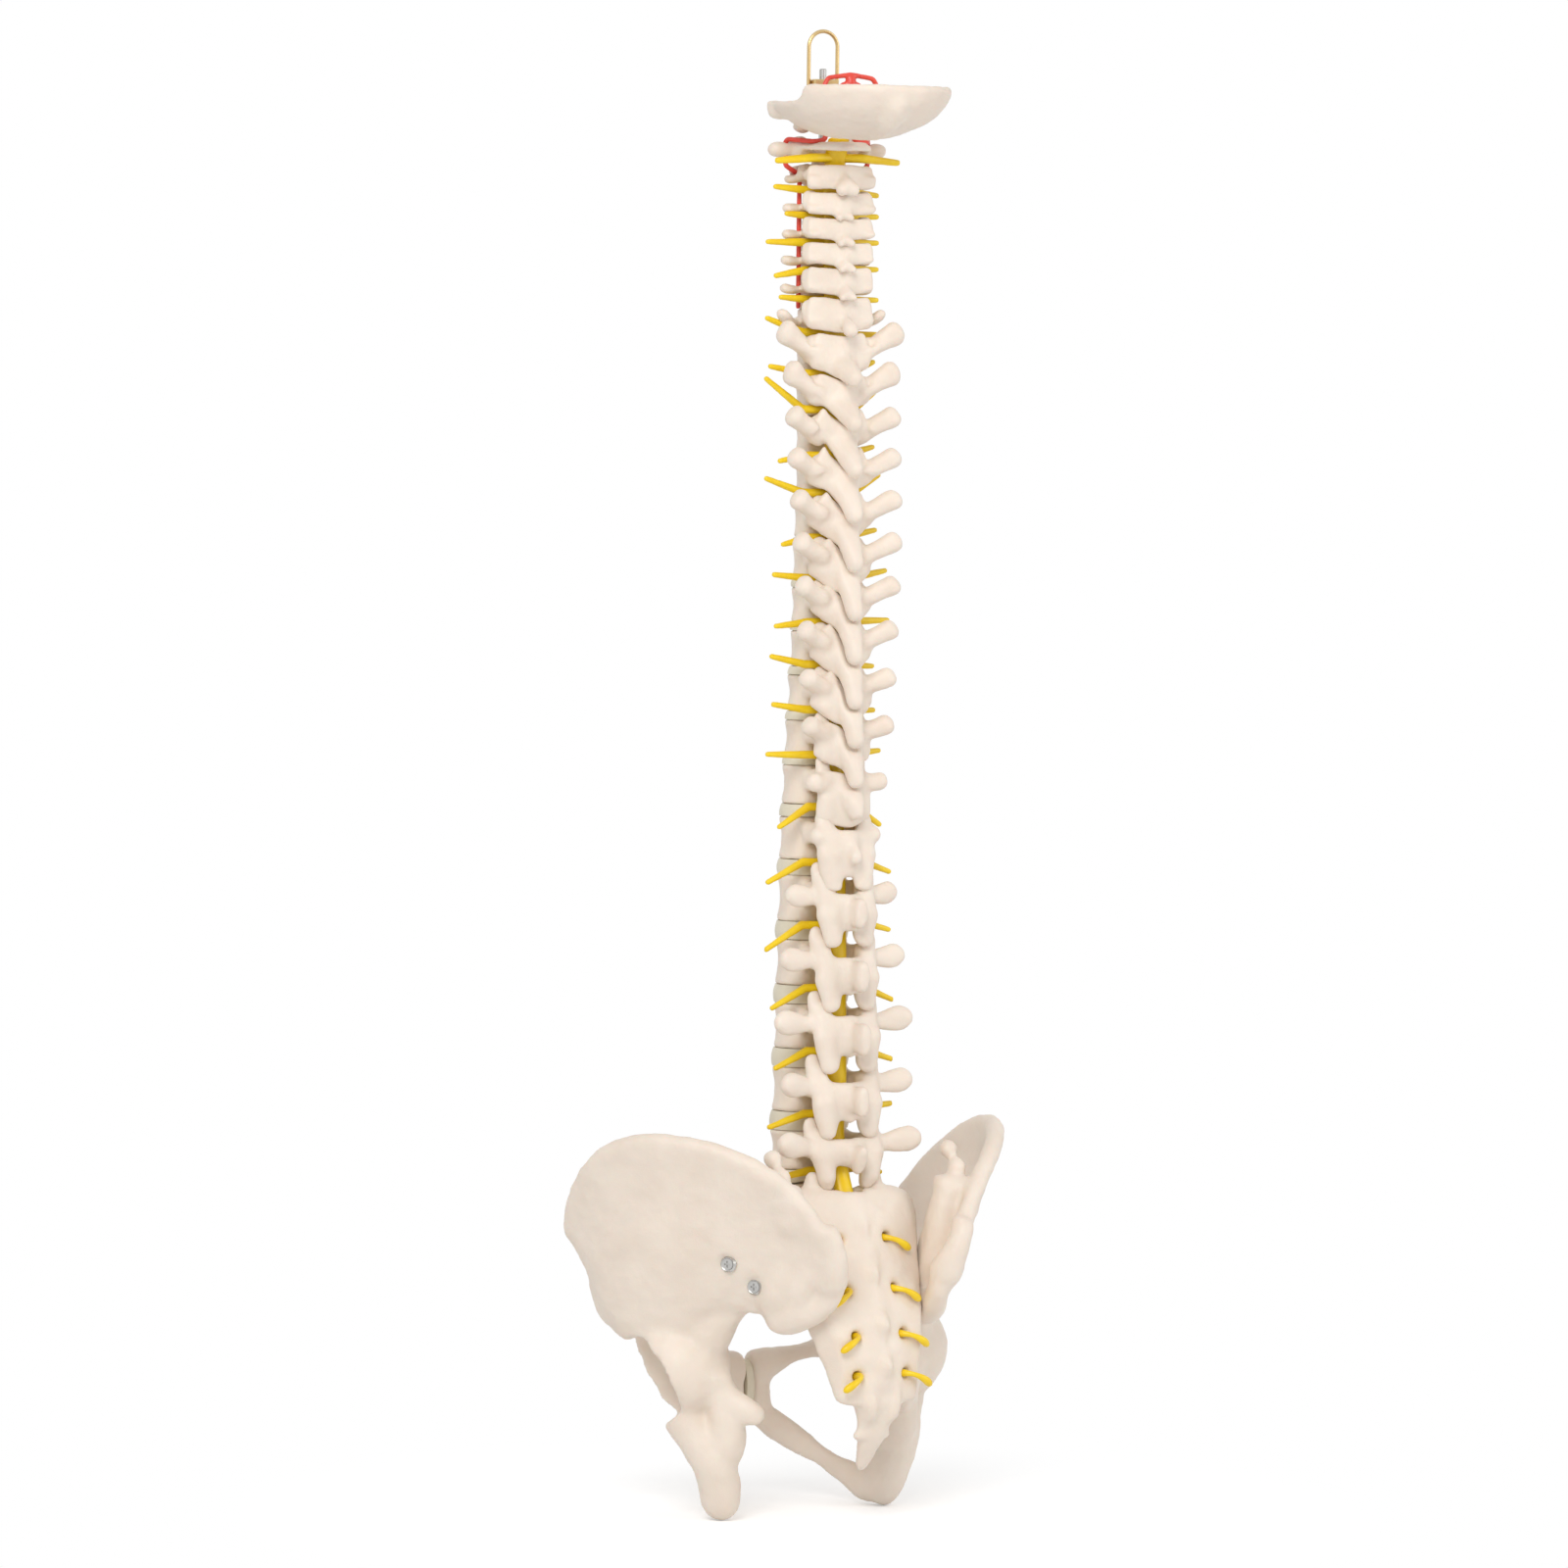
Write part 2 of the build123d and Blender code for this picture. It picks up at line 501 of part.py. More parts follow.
def arteries():
    """The two arteries of the neck, which climb to the arch above the plate"""
    branches = [artery_run([column_point(*point) for point in artery_route(side)]) for side in (1, -1)]
    top = column_point(0, -ARCH_BACK, ARCH_TOP)
    foot = column_point(0, -ARCH_BACK, ARCH_TOP - 13)
    stem = limb((*foot, 1.2, 1.2), (*top, 1.4, 1.4))
    twigs = []
    for drop, reach in ((5, 7), (9, 8)):
        root = column_point(0, -ARCH_BACK, ARCH_TOP - drop)
        for side in (1, -1):
            end = column_point(side * reach, -ARCH_BACK, ARCH_TOP - drop - 1.5)
            twigs.append(limb((*root, 0.8, 0.8), (*end, 0.8, 0.8)))
    knot = Pos(*top) * Sphere(0.52 * ARTERY_WIDTH)
    return branches[0].fuse(branches[1], knot, stem, *twigs)


def disc(upper, lower_outline, depth, tilt=0.0):
    """Cushion between two bodies, bulging a little at the middle of its height"""
    top = bean(upper.width * 0.97, upper.depth * 0.97, 0.06 * upper.depth)
    base = Pos(0, 0, -depth) * Rot(-tilt, 0, 0) * lower_outline
    middle = bean(upper.width * 1.03, upper.depth * 1.03, 0.06 * upper.depth)
    middle = Pos(0, 0, -depth / 2) * Rot(-tilt / 2, 0, 0) * middle
    return loft([top, middle, base]) - Cylinder(CORE_WIDTH / 2 + FIT, 4 * depth)


def sacral_section(back, z, tilt, half_width, half_depth):
    return Pos(0, -back, z) * Rot(-tilt, 0, 0) * bean(2 * half_width, 2 * half_depth, 0)


def joint_plane(offset):
    """Plane of the joint between the sacrum and the right hip bone, facing the hip"""
    front = Vector(*JOINT_FRONT, 0)
    back = Vector(*JOINT_BACK, 0)
    along = (front - back).normalized()
    lean = radians(JOINT_LEAN)
    facing = Vector(along.Y * cos(lean), -along.X * cos(lean), -sin(lean))
    middle = (front + back) * 0.5 + Vector(0, 0, -40) + facing * offset
    return Plane(origin=middle, x_dir=along, z_dir=facing)


def sacral_nerve(spot, grow=0.0):
    """Nerve that leaves a hole in the back of the sacrum and bends outwards"""
    back, z = spot
    r = SACRAL_NERVE / 2
    return limb((SACRAL_HOLE_SIDE, -back + 9, z, r, r), (SACRAL_HOLE_SIDE, -back - 1, z, r, r),
                (SACRAL_HOLE_SIDE + 6, -back - 5, z - 2, r, r),
                (SACRAL_HOLE_SIDE + 14, -back - 4, z - 7, 0.8 * r, 0.8 * r), grow=grow)


def sacrum():
    """Sacrum with the coccyx moulded on, in the pelvis frame"""
    half = SACRUM_WIDTH / 2
    deep = SACRUM_DEPTH / 2
    wings = loft([sacral_section(19, -3, SACRUM_TILT, 0.86 * half, 0.7 * deep),
                  sacral_section(23, -11, SACRUM_TILT, half, deep),
                  sacral_section(39, -42, 20, 0.9 * half, 0.76 * deep),
                  sacral_section(54, -71, 12, 0.84 * half, 0.56 * deep),
                  sacral_section(62, -96, 2, 0.74 * half, 0.42 * deep),
                  sacral_section(65, -117, -12, 0.62 * half, 0.3 * deep)])
    tail = loft([sacral_section(65, -112, -10, 0.36 * half, 0.26 * deep),
                 sacral_section(61, -134, -25, 10, 5), sacral_section(55, -148, -30, 6, 4),
                 sacral_section(50, -158, -35, 3, 2.6)])
    last = SIZES["l5"]
    base = Rot(-BASE_TILT, 0, 0) * extrude(bean(last.width, last.depth, 0.09 * last.depth), -24)
    crest = [limb((0, 8 - back, z + 3, CREST_HALF + 0.8, 8), (0, -back, z, CREST_HALF + 0.4, 7),
                  (0, -back - 6, z - 3, CREST_HALF - 0.4, 5)) for back, z in CREST_KNOBS]
    knobs = [limb((x, 8 - back, z, 4, 6), (x + 0.6, -back - 2, z - 2, 3, 4)) for x, back, z in SIDE_KNOBS]
    horn = limb((12, -66, -100, 3.4, 4), (9, -72, -116, 2.6, 3.4), (7, -68, -128, 2, 2.4))
    side = FACET_SIDE["l5"] + 4
    facet = limb((side + 1, -31, -12, 5.5, 6), (side, -31, 2, 5, 5), (side, -32, 11, 3.6, 3.4))
    spur = limb((5, -62, -134, 3, 2.6), (14, -60, -137, 2, 1.8))
    bone = wings.fuse(tail, base)
    bone = bone.fuse(*crest)
    bone = bone.fuse(*[half for shape in knobs for half in both(shape)])
    for shape in (horn, facet, spur):
        bone = bone.fuse(*both(shape))
    outside = joint_plane(-FIT / 2) * Pos(0, 0, 50) * Box(300, 300, 100)
    canal = limb((0, -27, 14, 10, 8), (0, -36, -8, 11, 8), (0, -50, -45, 8, 6), (0, -62, -78, 6, 4.4),
                 (0, -68, -100, 5, 3.4))
    core = Pos(0, 0, -CORE_TAIL / 2) * Cylinder(CORE_WIDTH / 2 + FIT, 4 * CORE_TAIL)
    spot = Pos(0, 0, -CORE_TAIL - 40) * Cylinder(0.75 * NUT_FLATS, 80)
    hole = Rot(90, 0, 0) * Cylinder(SACRAL_HOLE, 76)
    holes = [shape for back, z in SACRAL_SPOTS for shape in both(Pos(SACRAL_HOLE_SIDE, 30 - back, z) * hole)]
    nerves = [shape for spot_at in SACRAL_SPOTS for shape in both(sacral_nerve(spot_at, grow=FIT))]
    lift = last.z - SACRUM_TOP
    above = both(nerve(last, grow=FIT + 0.2)) + both(lower_facet(last, grow=FACET_GAP))
    over = Rot(-BASE_TILT, 0, 0) * Pos(0, 4, 15) * Box(1.4 * last.width, 50, 30)
    bone = bone.cut(*both(outside))
    bone = bone.cut(canal, over)
    bone = bone.cut(core, spot)
    bone = bone.cut(*holes)
    bone = bone.cut(*nerves)
    return bone.cut(*[Pos(0, 0, lift) * shape for shape in above])


def blade():
    """Wing of the right hip bone, a fan of thin sections that end in the thick crest"""
    sections = []
    crest = CREST_WALL / 2
    wall = BLADE_WALL / 2
    root = BLADE_ROOT / 2
    last = len(BLADE_RIM) - 1
    for k, (foot, rim) in enumerate(zip(BLADE_ROOTS, BLADE_RIM)):
        up = Vector(*rim) - Vector(*foot)
        along = Vector(*BLADE_RIM[min(k + 1, last)]) - Vector(*BLADE_RIM[max(k - 1, 0)])
        out = up.cross(along)
        bow = BLADE_BOW if 0 < k < last else 0.3 * BLADE_BOW
        tall = up.length
        outside = Spline((0, root), (0.35 * tall, bow + wall + 1), (0.72 * tall, 0.6 * bow + wall),
                         (0.93 * tall, crest))
        top = ThreePointArc((0.93 * tall, crest), (0.93 * tall + crest, 0), (0.93 * tall, -crest))
        inside = Spline((0.93 * tall, -crest), (0.72 * tall, 0.6 * bow - wall),
                        (0.35 * tall, bow - wall - 1), (0, -root))
        outline = make_face([outside, top, inside, Line((0, -root), (0, root))])
        sections.append(Plane(origin=foot, x_dir=up, z_dir=up.cross(out)) * outline)
    return loft(sections)


def hip_bone():
    """Right hip bone: wing, socket, sitting bone and the two branches of the pubis"""
    aim = Vector(*SOCKET_AIM).normalized()
    centre = Vector(*SOCKET_AT)
    ball = Pos(*(centre - aim * 6)) * Sphere(SOCKET_RADIUS + SOCKET_WALL - 1)
    joint_body = limb((62, -54, 6, 10, 12), (54, -52, -30, 12, 12), (56, -40, -62, 10, 10))
    notch_edge = limb((50, -44, -68, 8, 9), (64, -16, -64, 10, 9), (76, 4, -88, 13, 13))
    low_edge = limb((40, -74, -46, 8, 8), (44, -58, -64, 9, 9), (54, -38, -68, 8, 9))
    back_edge = limb((50, -78, -14, 7, 8), (43, -79, -34, 8, 8), (40, -72, -50, 8, 8))
    front_edge = limb((116, 69, -26, 5.5, 5), (105, 58, -52, 5, 6), (97, 48, -76, 7, 7))
    sitting = limb((80, 12, -122, 15, 14), (70, 2, -146, 12.5, 12), (61, 0, -166, 12.5, 12),
                   (57, 3, -181, 10, 10))
    rear = limb((72, -4, -104, 12, 12), (63, -8, -128, 9, 11), (60, -3, -152, 9, 10))
    spine = limb((66, -8, -116, 9, 11), (57, -19, -123, 6, 8), (51, -25, -127, 4, 5.4))
    upper_branch = limb((76, 36, -100, 13, 12), (50, 49, -100, 7, 7), (24, 56, -106, 7, 7.4),
                        (2, 57, -112, 6.5, 9))
    pubis = limb((9, 57, -104, 7, 6), (9, 57, -121, 8, 7), (10, 57, -136, 7, 6))
    lower_branch = limb((2, 58, -128, 6, 9), (14, 56, -139, 5, 8), (32, 40, -155, 4.6, 7.4),
                        (48, 20, -170, 6, 8), (57, 6, -178, 8, 9))
    bone = blade().fuse(ball)
    for piece in (joint_body, notch_edge, low_edge, back_edge, front_edge, sitting, rear, spine,
                  upper_branch, pubis, lower_branch):
        bone = bone.fuse(piece)
    socket = Pos(*(centre + aim * 9)) * Sphere(SOCKET_RADIUS)
    notch = Pos(*(centre + aim * 9)) * limb((0, 0, 0, 12, 8), (-14, 10, -24, 9, 7), (-20, 16, -40, 7, 6))
    middle = Pos(SYMPHYSIS_GAP / 2 - 50, 0, 0) * Box(100, 400, 600)
    joint = joint_plane(FIT / 2) * Pos(0, 0, -30) * Box(60, 170, 60)
    return bone.cut(socket, notch).cut(middle, joint)


def symphysis():
    """Cushion between the two pubic bones"""
    oval = Plane.YZ.offset(-SYMPHYSIS_GAP / 2) * Pos(*SYMPHYSIS_AT) * Ellipse(
        SYMPHYSIS_DEPTH / 2, SYMPHYSIS_LENGTH / 2)
    return extrude(oval, SYMPHYSIS_GAP)


def screw_planes(bone):
    """Planes on the outside of the right hip bone where the screws bear, facing outwards"""
    out = Vector(*SCREW_AIM) * -1
    planes = []
    for at in SCREWS_AT:
        line = Axis(Vector(*at) + out * 60, out * -1)
        hits = [hit[0] for hit in bone.find_intersection_points(line)]
        first = min(hits, key=lambda hit: (hit - line.position).length)
        planes.append(Plane(origin=first - out * 1.2, z_dir=out))
    return planes


def screw_bore(plane):
    """Flat spot for the washer and the hole for the shank"""
    spot = plane * Pos(0, 0, 15) * Cylinder(WASHER_WIDTH / 2 + FIT, 30)
    hole = plane * Cylinder(SCREW_SHANK / 2 + FIT, 2 * SCREW_LENGTH + 2)
    return [spot, hole]


def screw(plane):
    """Countersunk screw with a cross recess"""
    head = SCREW_HEAD / 2
    shank = SCREW_SHANK / 2
    top = WASHER_HEIGHT
    profile = Polyline((0, top), (head, top), (head, top - 0.4), (shank, 0.2), (shank, 3 - SCREW_LENGTH),
                       (0, -SCREW_LENGTH), (0, top))
    solid = revolve(make_face(Plane.XZ * profile), Axis.Z)
    arm = Pos(0, 0, top) * Box(0.6 * SCREW_HEAD, 0.9, 2)
    return plane * (solid - arm - Rot(0, 0, 90) * arm)


def cup_washer(plane):
    """Domed ring under the screw head"""
    rim = WASHER_WIDTH / 2
    head = SCREW_HEAD / 2 + 0.1
    bore = SCREW_SHANK / 2 + 0.25
    profile = Polyline((bore, 0), (rim, 0), (rim, 0.5), (head + 0.5, WASHER_HEIGHT - 0.1),
                       (head, WASHER_HEIGHT - 0.3), (bore, 0.35), (bore, 0))
    return plane * revolve(make_face(Plane.XZ * profile), Axis.Z)


def hanger_loop():
    """Wire bail with its ends turned into the sides of the block"""
    half = (LOOP_WIDTH - LOOP_WIRE) / 2
    top = LOOP_WIRE / 2
    pin = BLOCK_TOP - PIN_DROP
    inner = half - LOOP_WIRE / 2 - LOOP_PIN
    bend = LOOP_CORNER
    low = 0.7071 * bend
    legs = []
    for side in (1, -1):
        corner = ThreePointArc((side * half, pin + bend), (side * (half - bend + low), pin + bend - low),
                               (side * (half - bend), pin))
        legs += [Line((side * half, top - half), (side * half, pin + bend)), corner,
                 Line((side * (half - bend), pin), (side * inner, pin))]
    crown = ThreePointArc((-half, top - half), (0, top), (half, top - half))
    path = Wire([Plane.XZ * edge for line in [crown] + legs for edge in line.edges()])
    start = Plane(origin=path @ 0, z_dir=path % 0)
    return sweep(start * Circle(LOOP_WIRE / 2), path=path)


def core_rod():
    """Flexible core through the bodies, stepped down to a threaded end"""
    step = -AXIS_BASE_DROP - FIT
    tail = SACRUM_TOP - CORE_TAIL - NUT_HEIGHT - 3
    thick = Pos(0, 0, (step + tail) / 2) * Cylinder(CORE_WIDTH / 2, step - tail)
    head = BLOCK_TOP + THREAD_STANDS
    thin = Pos(0, 0, (step + head) / 2) * Cylinder(THREAD_WIDTH / 2, head - step)
    return chamfer((thick + thin).edges().filter_by(GeomType.CIRCLE).group_by(Axis.Z)[-1], 0.5)


def hanger_block():
    """Brass block on the rod, with a hole in each side for the bail's ends"""
    width = LOOP_WIDTH - 2 * LOOP_WIRE - 2 * FIT / 3
    block = Pos(0, 0, (BLOCK_TOP + BLOCK_BOTTOM) / 2) * Box(width, BLOCK_DEPTH, BLOCK_HEIGHT)
    block = chamfer(block.edges(), BLOCK_CHAMFER)
    pins = Pos(0, 0, BLOCK_TOP - PIN_DROP) * Rot(0, 90, 0) * Cylinder(LOOP_WIRE / 2 + 0.1, 2 * width)
    centre = Box(width - 2 * LOOP_PIN - 1, 2 * BLOCK_DEPTH, 100)
    return block - Cylinder(THREAD_WIDTH / 2 + 0.1, 200) - (pins - centre)


def nut(flats, height, bore):
    """Six-sided nut with its corners turned off"""
    body = extrude(RegularPolygon(flats / 2, 6, major_radius=False), height)
    cone = Cone(flats / 2 + height + 0.2, flats / 2 + 0.2, height)
    return (body & Pos(0, 0, height / 2) * cone) - Cylinder(bore / 2 + 0.1, 4 * height)


def rod_nuts():
    """One nut below the plate and one below the sacrum's front"""
    upper = Pos(0, 0, PLATE_UNDER) * Rot(180, 0, 0) * nut(TOP_NUT_FLATS, TOP_NUT_HEIGHT, THREAD_WIDTH)
    lower = Pos(0, 0, SACRUM_TOP - CORE_TAIL) * Rot(180, 0, 0) * nut(NUT_FLATS, NUT_HEIGHT, CORE_WIDTH)
    return Compound(children=[upper, lower])


def disc_below(name):
    """Disc under one vertebra, and the one on the sacrum with its slanted underside"""
    s = SIZES[name]
    if name == "l5":
        return disc(s, bean(s.width, s.depth, 0.09 * s.depth), s.disc, BASE_TILT)
    below = SIZES[LEVELS[LEVELS.index(name) + 1]]
    return disc(s, bean(below.width * 0.97, below.depth * 0.97, 0.06 * below.depth), s.disc)


def spinal_cord():
    """Cord down the canal, ending in the sacrum"""
    rings = [(SIZES[name].cord, SIZES[name].canal_middle, SIZES[name].z)
             for name in ("c2", "c5", "t1", "t4", "t7", "t10", "t12", "l1", "l2", "l3", "l4", "l5")]
    top = SIZES["c2"]
    rings.insert(0, (top.cord, -FORAMEN_BACK + 2, BOWL_RIM - BOWL_DEPTH + 2))
    for share, y, drop in ((0.9, -34, 3), (0.7, -42, 23), (0.5, -50, 44)):
        rings.append((share * SIZES["l5"].cord, y, SACRUM_TOP - drop))
    faces = [placed(Pos(0, y, 0) * Ellipse(width / 2, CORD_DEPTH / CORD_WIDTH["l5"] * width / 2), z)
             for width, y, z in rings]
    return loft(faces)


def nerves(cord):
    """Every nerve, each cut back to the cord's surface"""
    shapes = []
    for s in SIZES.values():
        for half in both(nerve(s)):
            shapes.append(placed(half, s.z) - cord)
    first_turn = Rot(0, 0, turn(FIRST_NERVE[2]))
    shapes += [first_turn * half - cord for half in both(first_nerve())]
    for spot in SACRAL_SPOTS:
        shapes += [Pos(0, 0, SACRUM_TOP) * half for half in both(sacral_nerve(spot))]
    return Compound(children=shapes)


def save(shape, name):
    export_step(shape, f"parts/{name}.step")


def pelvis(shape):
    return Pos(0, 0, SACRUM_TOP) * shape


def build():
    for name, s in SIZES.items():
        bone = axis(s) if name == "c2" else vertebra(s)
        save(placed(bone, s.z), "axis_c2" if name == "c2" else f"vertebra_{name}")
        below = "s1" if name == "l5" else LEVELS[LEVELS.index(name) + 1]
        save(placed(disc_below(name), s.bottom), f"disc_{name}_{below}")
    save(placed(atlas(), -ATLAS_DROP), "atlas_c1")
    plate_turn = Rot(0, 0, turn(BOWL_RIM))
    save(plate_turn * occipital_plate(), "occipital_plate")
    save(arteries(), "vertebral_arteries")
    cord = spinal_cord()
    save(cord, "spinal_cord")
    save(nerves(cord), "spinal_nerves")
    right = hip_bone()
    planes = screw_planes(right)
    bores = [bore for plane in planes for bore in screw_bore(plane)]
    right = right.cut(*bores)
    save(pelvis(right), "right_hip_bone")
    save(pelvis(mirror(right, Plane.YZ)), "left_hip_bone")
    holes = [half for plane in planes for half in both(screw_bore(plane)[1])]
    save(pelvis(sacrum().cut(*holes)), "sacrum")
    save(pelvis(symphysis()), "pubic_symphysis")
    fixings = [piece for plane in planes for piece in (screw(plane), cup_washer(plane))]
    save(pelvis(Compound(children=[half for piece in fixings for half in both(piece)])), "hip_screws")
    save(core_rod(), "core_rod")
    save(plate_turn * hanger_block(), "hanger_block")
    save(plate_turn * hanger_loop(), "hanger_loop")
    save(rod_nuts(), "rod_nuts")


build()
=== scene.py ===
import math

import bpy
import numpy as np
import openvdb
from mathutils import Matrix, Vector, noise

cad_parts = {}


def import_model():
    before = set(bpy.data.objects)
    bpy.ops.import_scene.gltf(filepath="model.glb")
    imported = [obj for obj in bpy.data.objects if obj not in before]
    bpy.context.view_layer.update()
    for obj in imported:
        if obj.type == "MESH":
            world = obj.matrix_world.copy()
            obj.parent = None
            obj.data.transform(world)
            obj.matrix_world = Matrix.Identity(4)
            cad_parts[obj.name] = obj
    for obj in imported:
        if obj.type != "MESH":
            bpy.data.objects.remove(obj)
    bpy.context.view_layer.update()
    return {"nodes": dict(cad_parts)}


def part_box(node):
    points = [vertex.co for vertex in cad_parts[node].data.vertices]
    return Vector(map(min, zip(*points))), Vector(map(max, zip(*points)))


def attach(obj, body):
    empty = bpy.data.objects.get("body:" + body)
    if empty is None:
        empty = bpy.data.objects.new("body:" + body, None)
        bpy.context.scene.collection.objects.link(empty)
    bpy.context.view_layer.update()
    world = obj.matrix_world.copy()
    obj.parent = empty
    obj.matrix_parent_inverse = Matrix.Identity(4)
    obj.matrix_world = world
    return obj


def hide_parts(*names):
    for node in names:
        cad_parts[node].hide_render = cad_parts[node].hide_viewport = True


# Spine anatomy model: moulded surfaces, finishes, light and camera. Lengths are in metres
# where no heading or docstring says millimetres.
MM = 0.001

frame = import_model()

# Camera, read from the photograph
AZIMUTH = math.radians(-38.0)
ELEVATION = math.radians(3.0)
ROLL = math.radians(0.75)
DISTANCE = 5.0
LENS = 202.5
AIM_HEIGHT = -0.4243
AIM_LEFT = 0.0167

# Lattice and surface: grain and band in millimetres, depths of the uneven surface in metres
VERTEBRA_GRAIN = 1.05
LARGE_GRAIN = 1.55
SOFT_GRAIN = {"spinal_nerves": 0.8, "spinal_cord": 1.2, "vertebral_arteries": 0.75}
BAND = 4.0
SWELL = 0.38 * MM
SWELL_LENGTH = 9 * MM
RIPPLE = 0.16 * MM
RIPPLE_LENGTH = 3.2 * MM

# Levels of the column from the axis down, and its even turn about the rod
LEVELS = [f"c{n}" for n in range(2, 8)] + [f"t{n}" for n in range(1, 13)] + [f"l{n}" for n in range(1, 6)]
COLUMN_TURN = -13.0
TURN_START = -642.25
AXIS_HEIGHT = 15.0

# Sizes at landmark levels, in millimetres; the levels between lie on a line between their neighbours
CANAL_BACK = {"c2": 22.5, "c7": 22.5, "t1": 23.5, "t4": 25.0, "t8": 27.5, "t12": 30.8, "l1": 32.0,
              "l5": 32.5}
FACET_SIDE = {"c2": 17, "c7": 17, "t1": 14, "t3": 12, "t12": 12, "l1": 13, "l5": 18}
PLATE_WALL = {"c2": 4.5, "c7": 5, "t6": 6, "t12": 7}
SLANT = {"c2": 0, "c7": 2, "t1": 3, "t3": 5, "t5": 9, "t9": 9, "t10": 6, "t11": 2}
SPINE_BACK = {"c2": 36, "c3": 31, "c6": 35, "c7": 41, "t1": 45, "t6": 46, "t12": 47, "l1": 51,
              "l3": 55, "l5": 50}
SPINE_RISE = {"c2": -4, "c6": -3, "c7": -5, "t1": -11, "t4": -21, "t6": -29, "t8": -30, "t10": -24,
              "t11": -15, "t12": -10, "l1": -7, "l5": -4}
SPAN = {"t1": 39, "t2": 36, "t6": 34, "t10": 29, "t12": 22, "l1": 38, "l3": 48, "l4": 46, "l5": 51}
TIP_BACK = {"t1": 25, "t6": 34, "t10": 35, "t12": 33, "l1": 29, "l3": 32, "l5": 38}
TIP_RISE = {"t1": 13, "t8": 11, "t10": 8, "t11": 3, "t12": 3, "l3": 5, "l5": 7}
KNOB = {"t1": 5.6, "t10": 5.4, "t12": 3.6, "l1": 3.2, "l5": 4.0}
KNOB_LIFT = {"t1": 4.5, "t2": 5.0, "t3": 2.0, "t12": 0.5, "l5": 0.0}
NERVE_BACK = {"c2": 8, "c7": 10, "t1": 14, "t12": 17, "l5": 20}

# Heights of the plates behind the canal, in millimetres
PLATE_GAP = 1.3
AXIS_PLATE_HEAD = -73.5
PLATE_FOOT = {"c2": -89.3, "c3": -103.8, "c4": -117.7, "c5": -132, "c6": -148.8, "c7": -169.8,
              "t1": -193.8, "t2": -213.8, "t3": -234.3, "t4": -262, "t5": -289.3, "t6": -317,
              "t7": -338, "t8": -364.3, "t9": -391.6, "t10": -415.4, "t11": -448.2}
PLATE_REACH = 1.5
ROOM_REACH = 9.0
LUMBAR_PLATE = {"t12": (-449.5, -475), "l1": (-486.6, -505.4), "l2": (-523.2, -541.6),
                "l3": (-554.3, -576.6), "l4": (-592.7, -613.8), "l5": (-624.3, -638.8)}
ROOF_DROP = 3.0
SHINGLED = LEVELS[:LEVELS.index("t11") + 1]
ROOFED = LEVELS[LEVELS.index("t1"):LEVELS.index("t12")]
KNOBBED = LEVELS[LEVELS.index("t1"):]
FORKED = LEVELS[1:5]

# Nerves in millimetres: how far each tip reaches to the side, and its height
LEFT_TIP = {"c2": (33, -87), "c3": (26, -102), "c4": (38, -118), "c5": (33, -137), "c6": (30, -149),
            "c7": (39, -161), "t1": (39, -188), "t2": (42, -195), "t3": (33, -241), "t4": (42, -251),
            "t5": (31, -288), "t6": (37, -305), "t7": (36, -334), "t8": (39, -351), "t9": (38, -378),
            "t10": (42, -406), "t11": (34, -447), "t12": (42, -478), "l1": (44, -516), "l2": (40, -549),
            "l3": (38, -583), "l4": (43, -616), "l5": (36, -645)}
RIGHT_TIP = {"c2": (31, -91), "t1": (27, -185), "t2": (28, -202), "t3": (27, -233), "t4": (31, -249),
             "t5": (29, -280), "t6": (36, -303), "t7": (38, -331), "t8": (28, -357), "t9": (29, -382),
             "t10": (33, -405), "t11": (34, -447), "t12": (41, -474), "l1": (41, -507), "l2": (44, -547),
             "l3": (44, -581), "l4": (46, -606), "l5": (36, -645)}
PLAIN_REACH = 31
PLAIN_LIFT = 1.5
NERVE_ROOT = 2.4
NERVE_TIP = 1.6
FIRST_NERVE = (37.5, -20.0, -70.5)
FIRST_ROOT = 2.6
FIRST_TIP = 1.9
COLUMN_NERVES = (-652, -60)

# Sacrum, hip bones and skull base, in millimetres; the first two are measured from the sacrum's top
SACRUM_TOP = -652.75
CREST_PITS = ((4, -54, -20), (4, -63, -48), (4, -72, -81))
RIDGE = ((63, -48, 22), (63, -56, 12), (63, -62, 0), (63, -66, -12))
RIDGE_WIDTH = 5.5
FRONT_LIMIT = -32
FRONT_WALL = -15
WING_TOP = -39
BACK_SHARE = (0.788, -0.616)

# Light: strength of the sky and the floor's glow, and where the floor fades to white, in metres
SKY = 0.62
FLOOR_GLOW = 0.3
FADE_START = 0.12
FADE_END = 0.34
FLOOR_HALF = 12.0
LIT_AT = (0, 0, -0.4)


def principled(name, colour, roughness, **inputs):
    """Plain shiny or matt material with its node tree"""
    material = bpy.data.materials.new(name)
    material.use_nodes = True
    shader = material.node_tree.nodes["Principled BSDF"]
    shader.inputs["Base Color"].default_value = (*colour, 1)
    shader.inputs["Roughness"].default_value = roughness
    for key, value in inputs.items():
        shader.inputs[key.replace("_", " ")].default_value = value
    return material, material.node_tree, shader


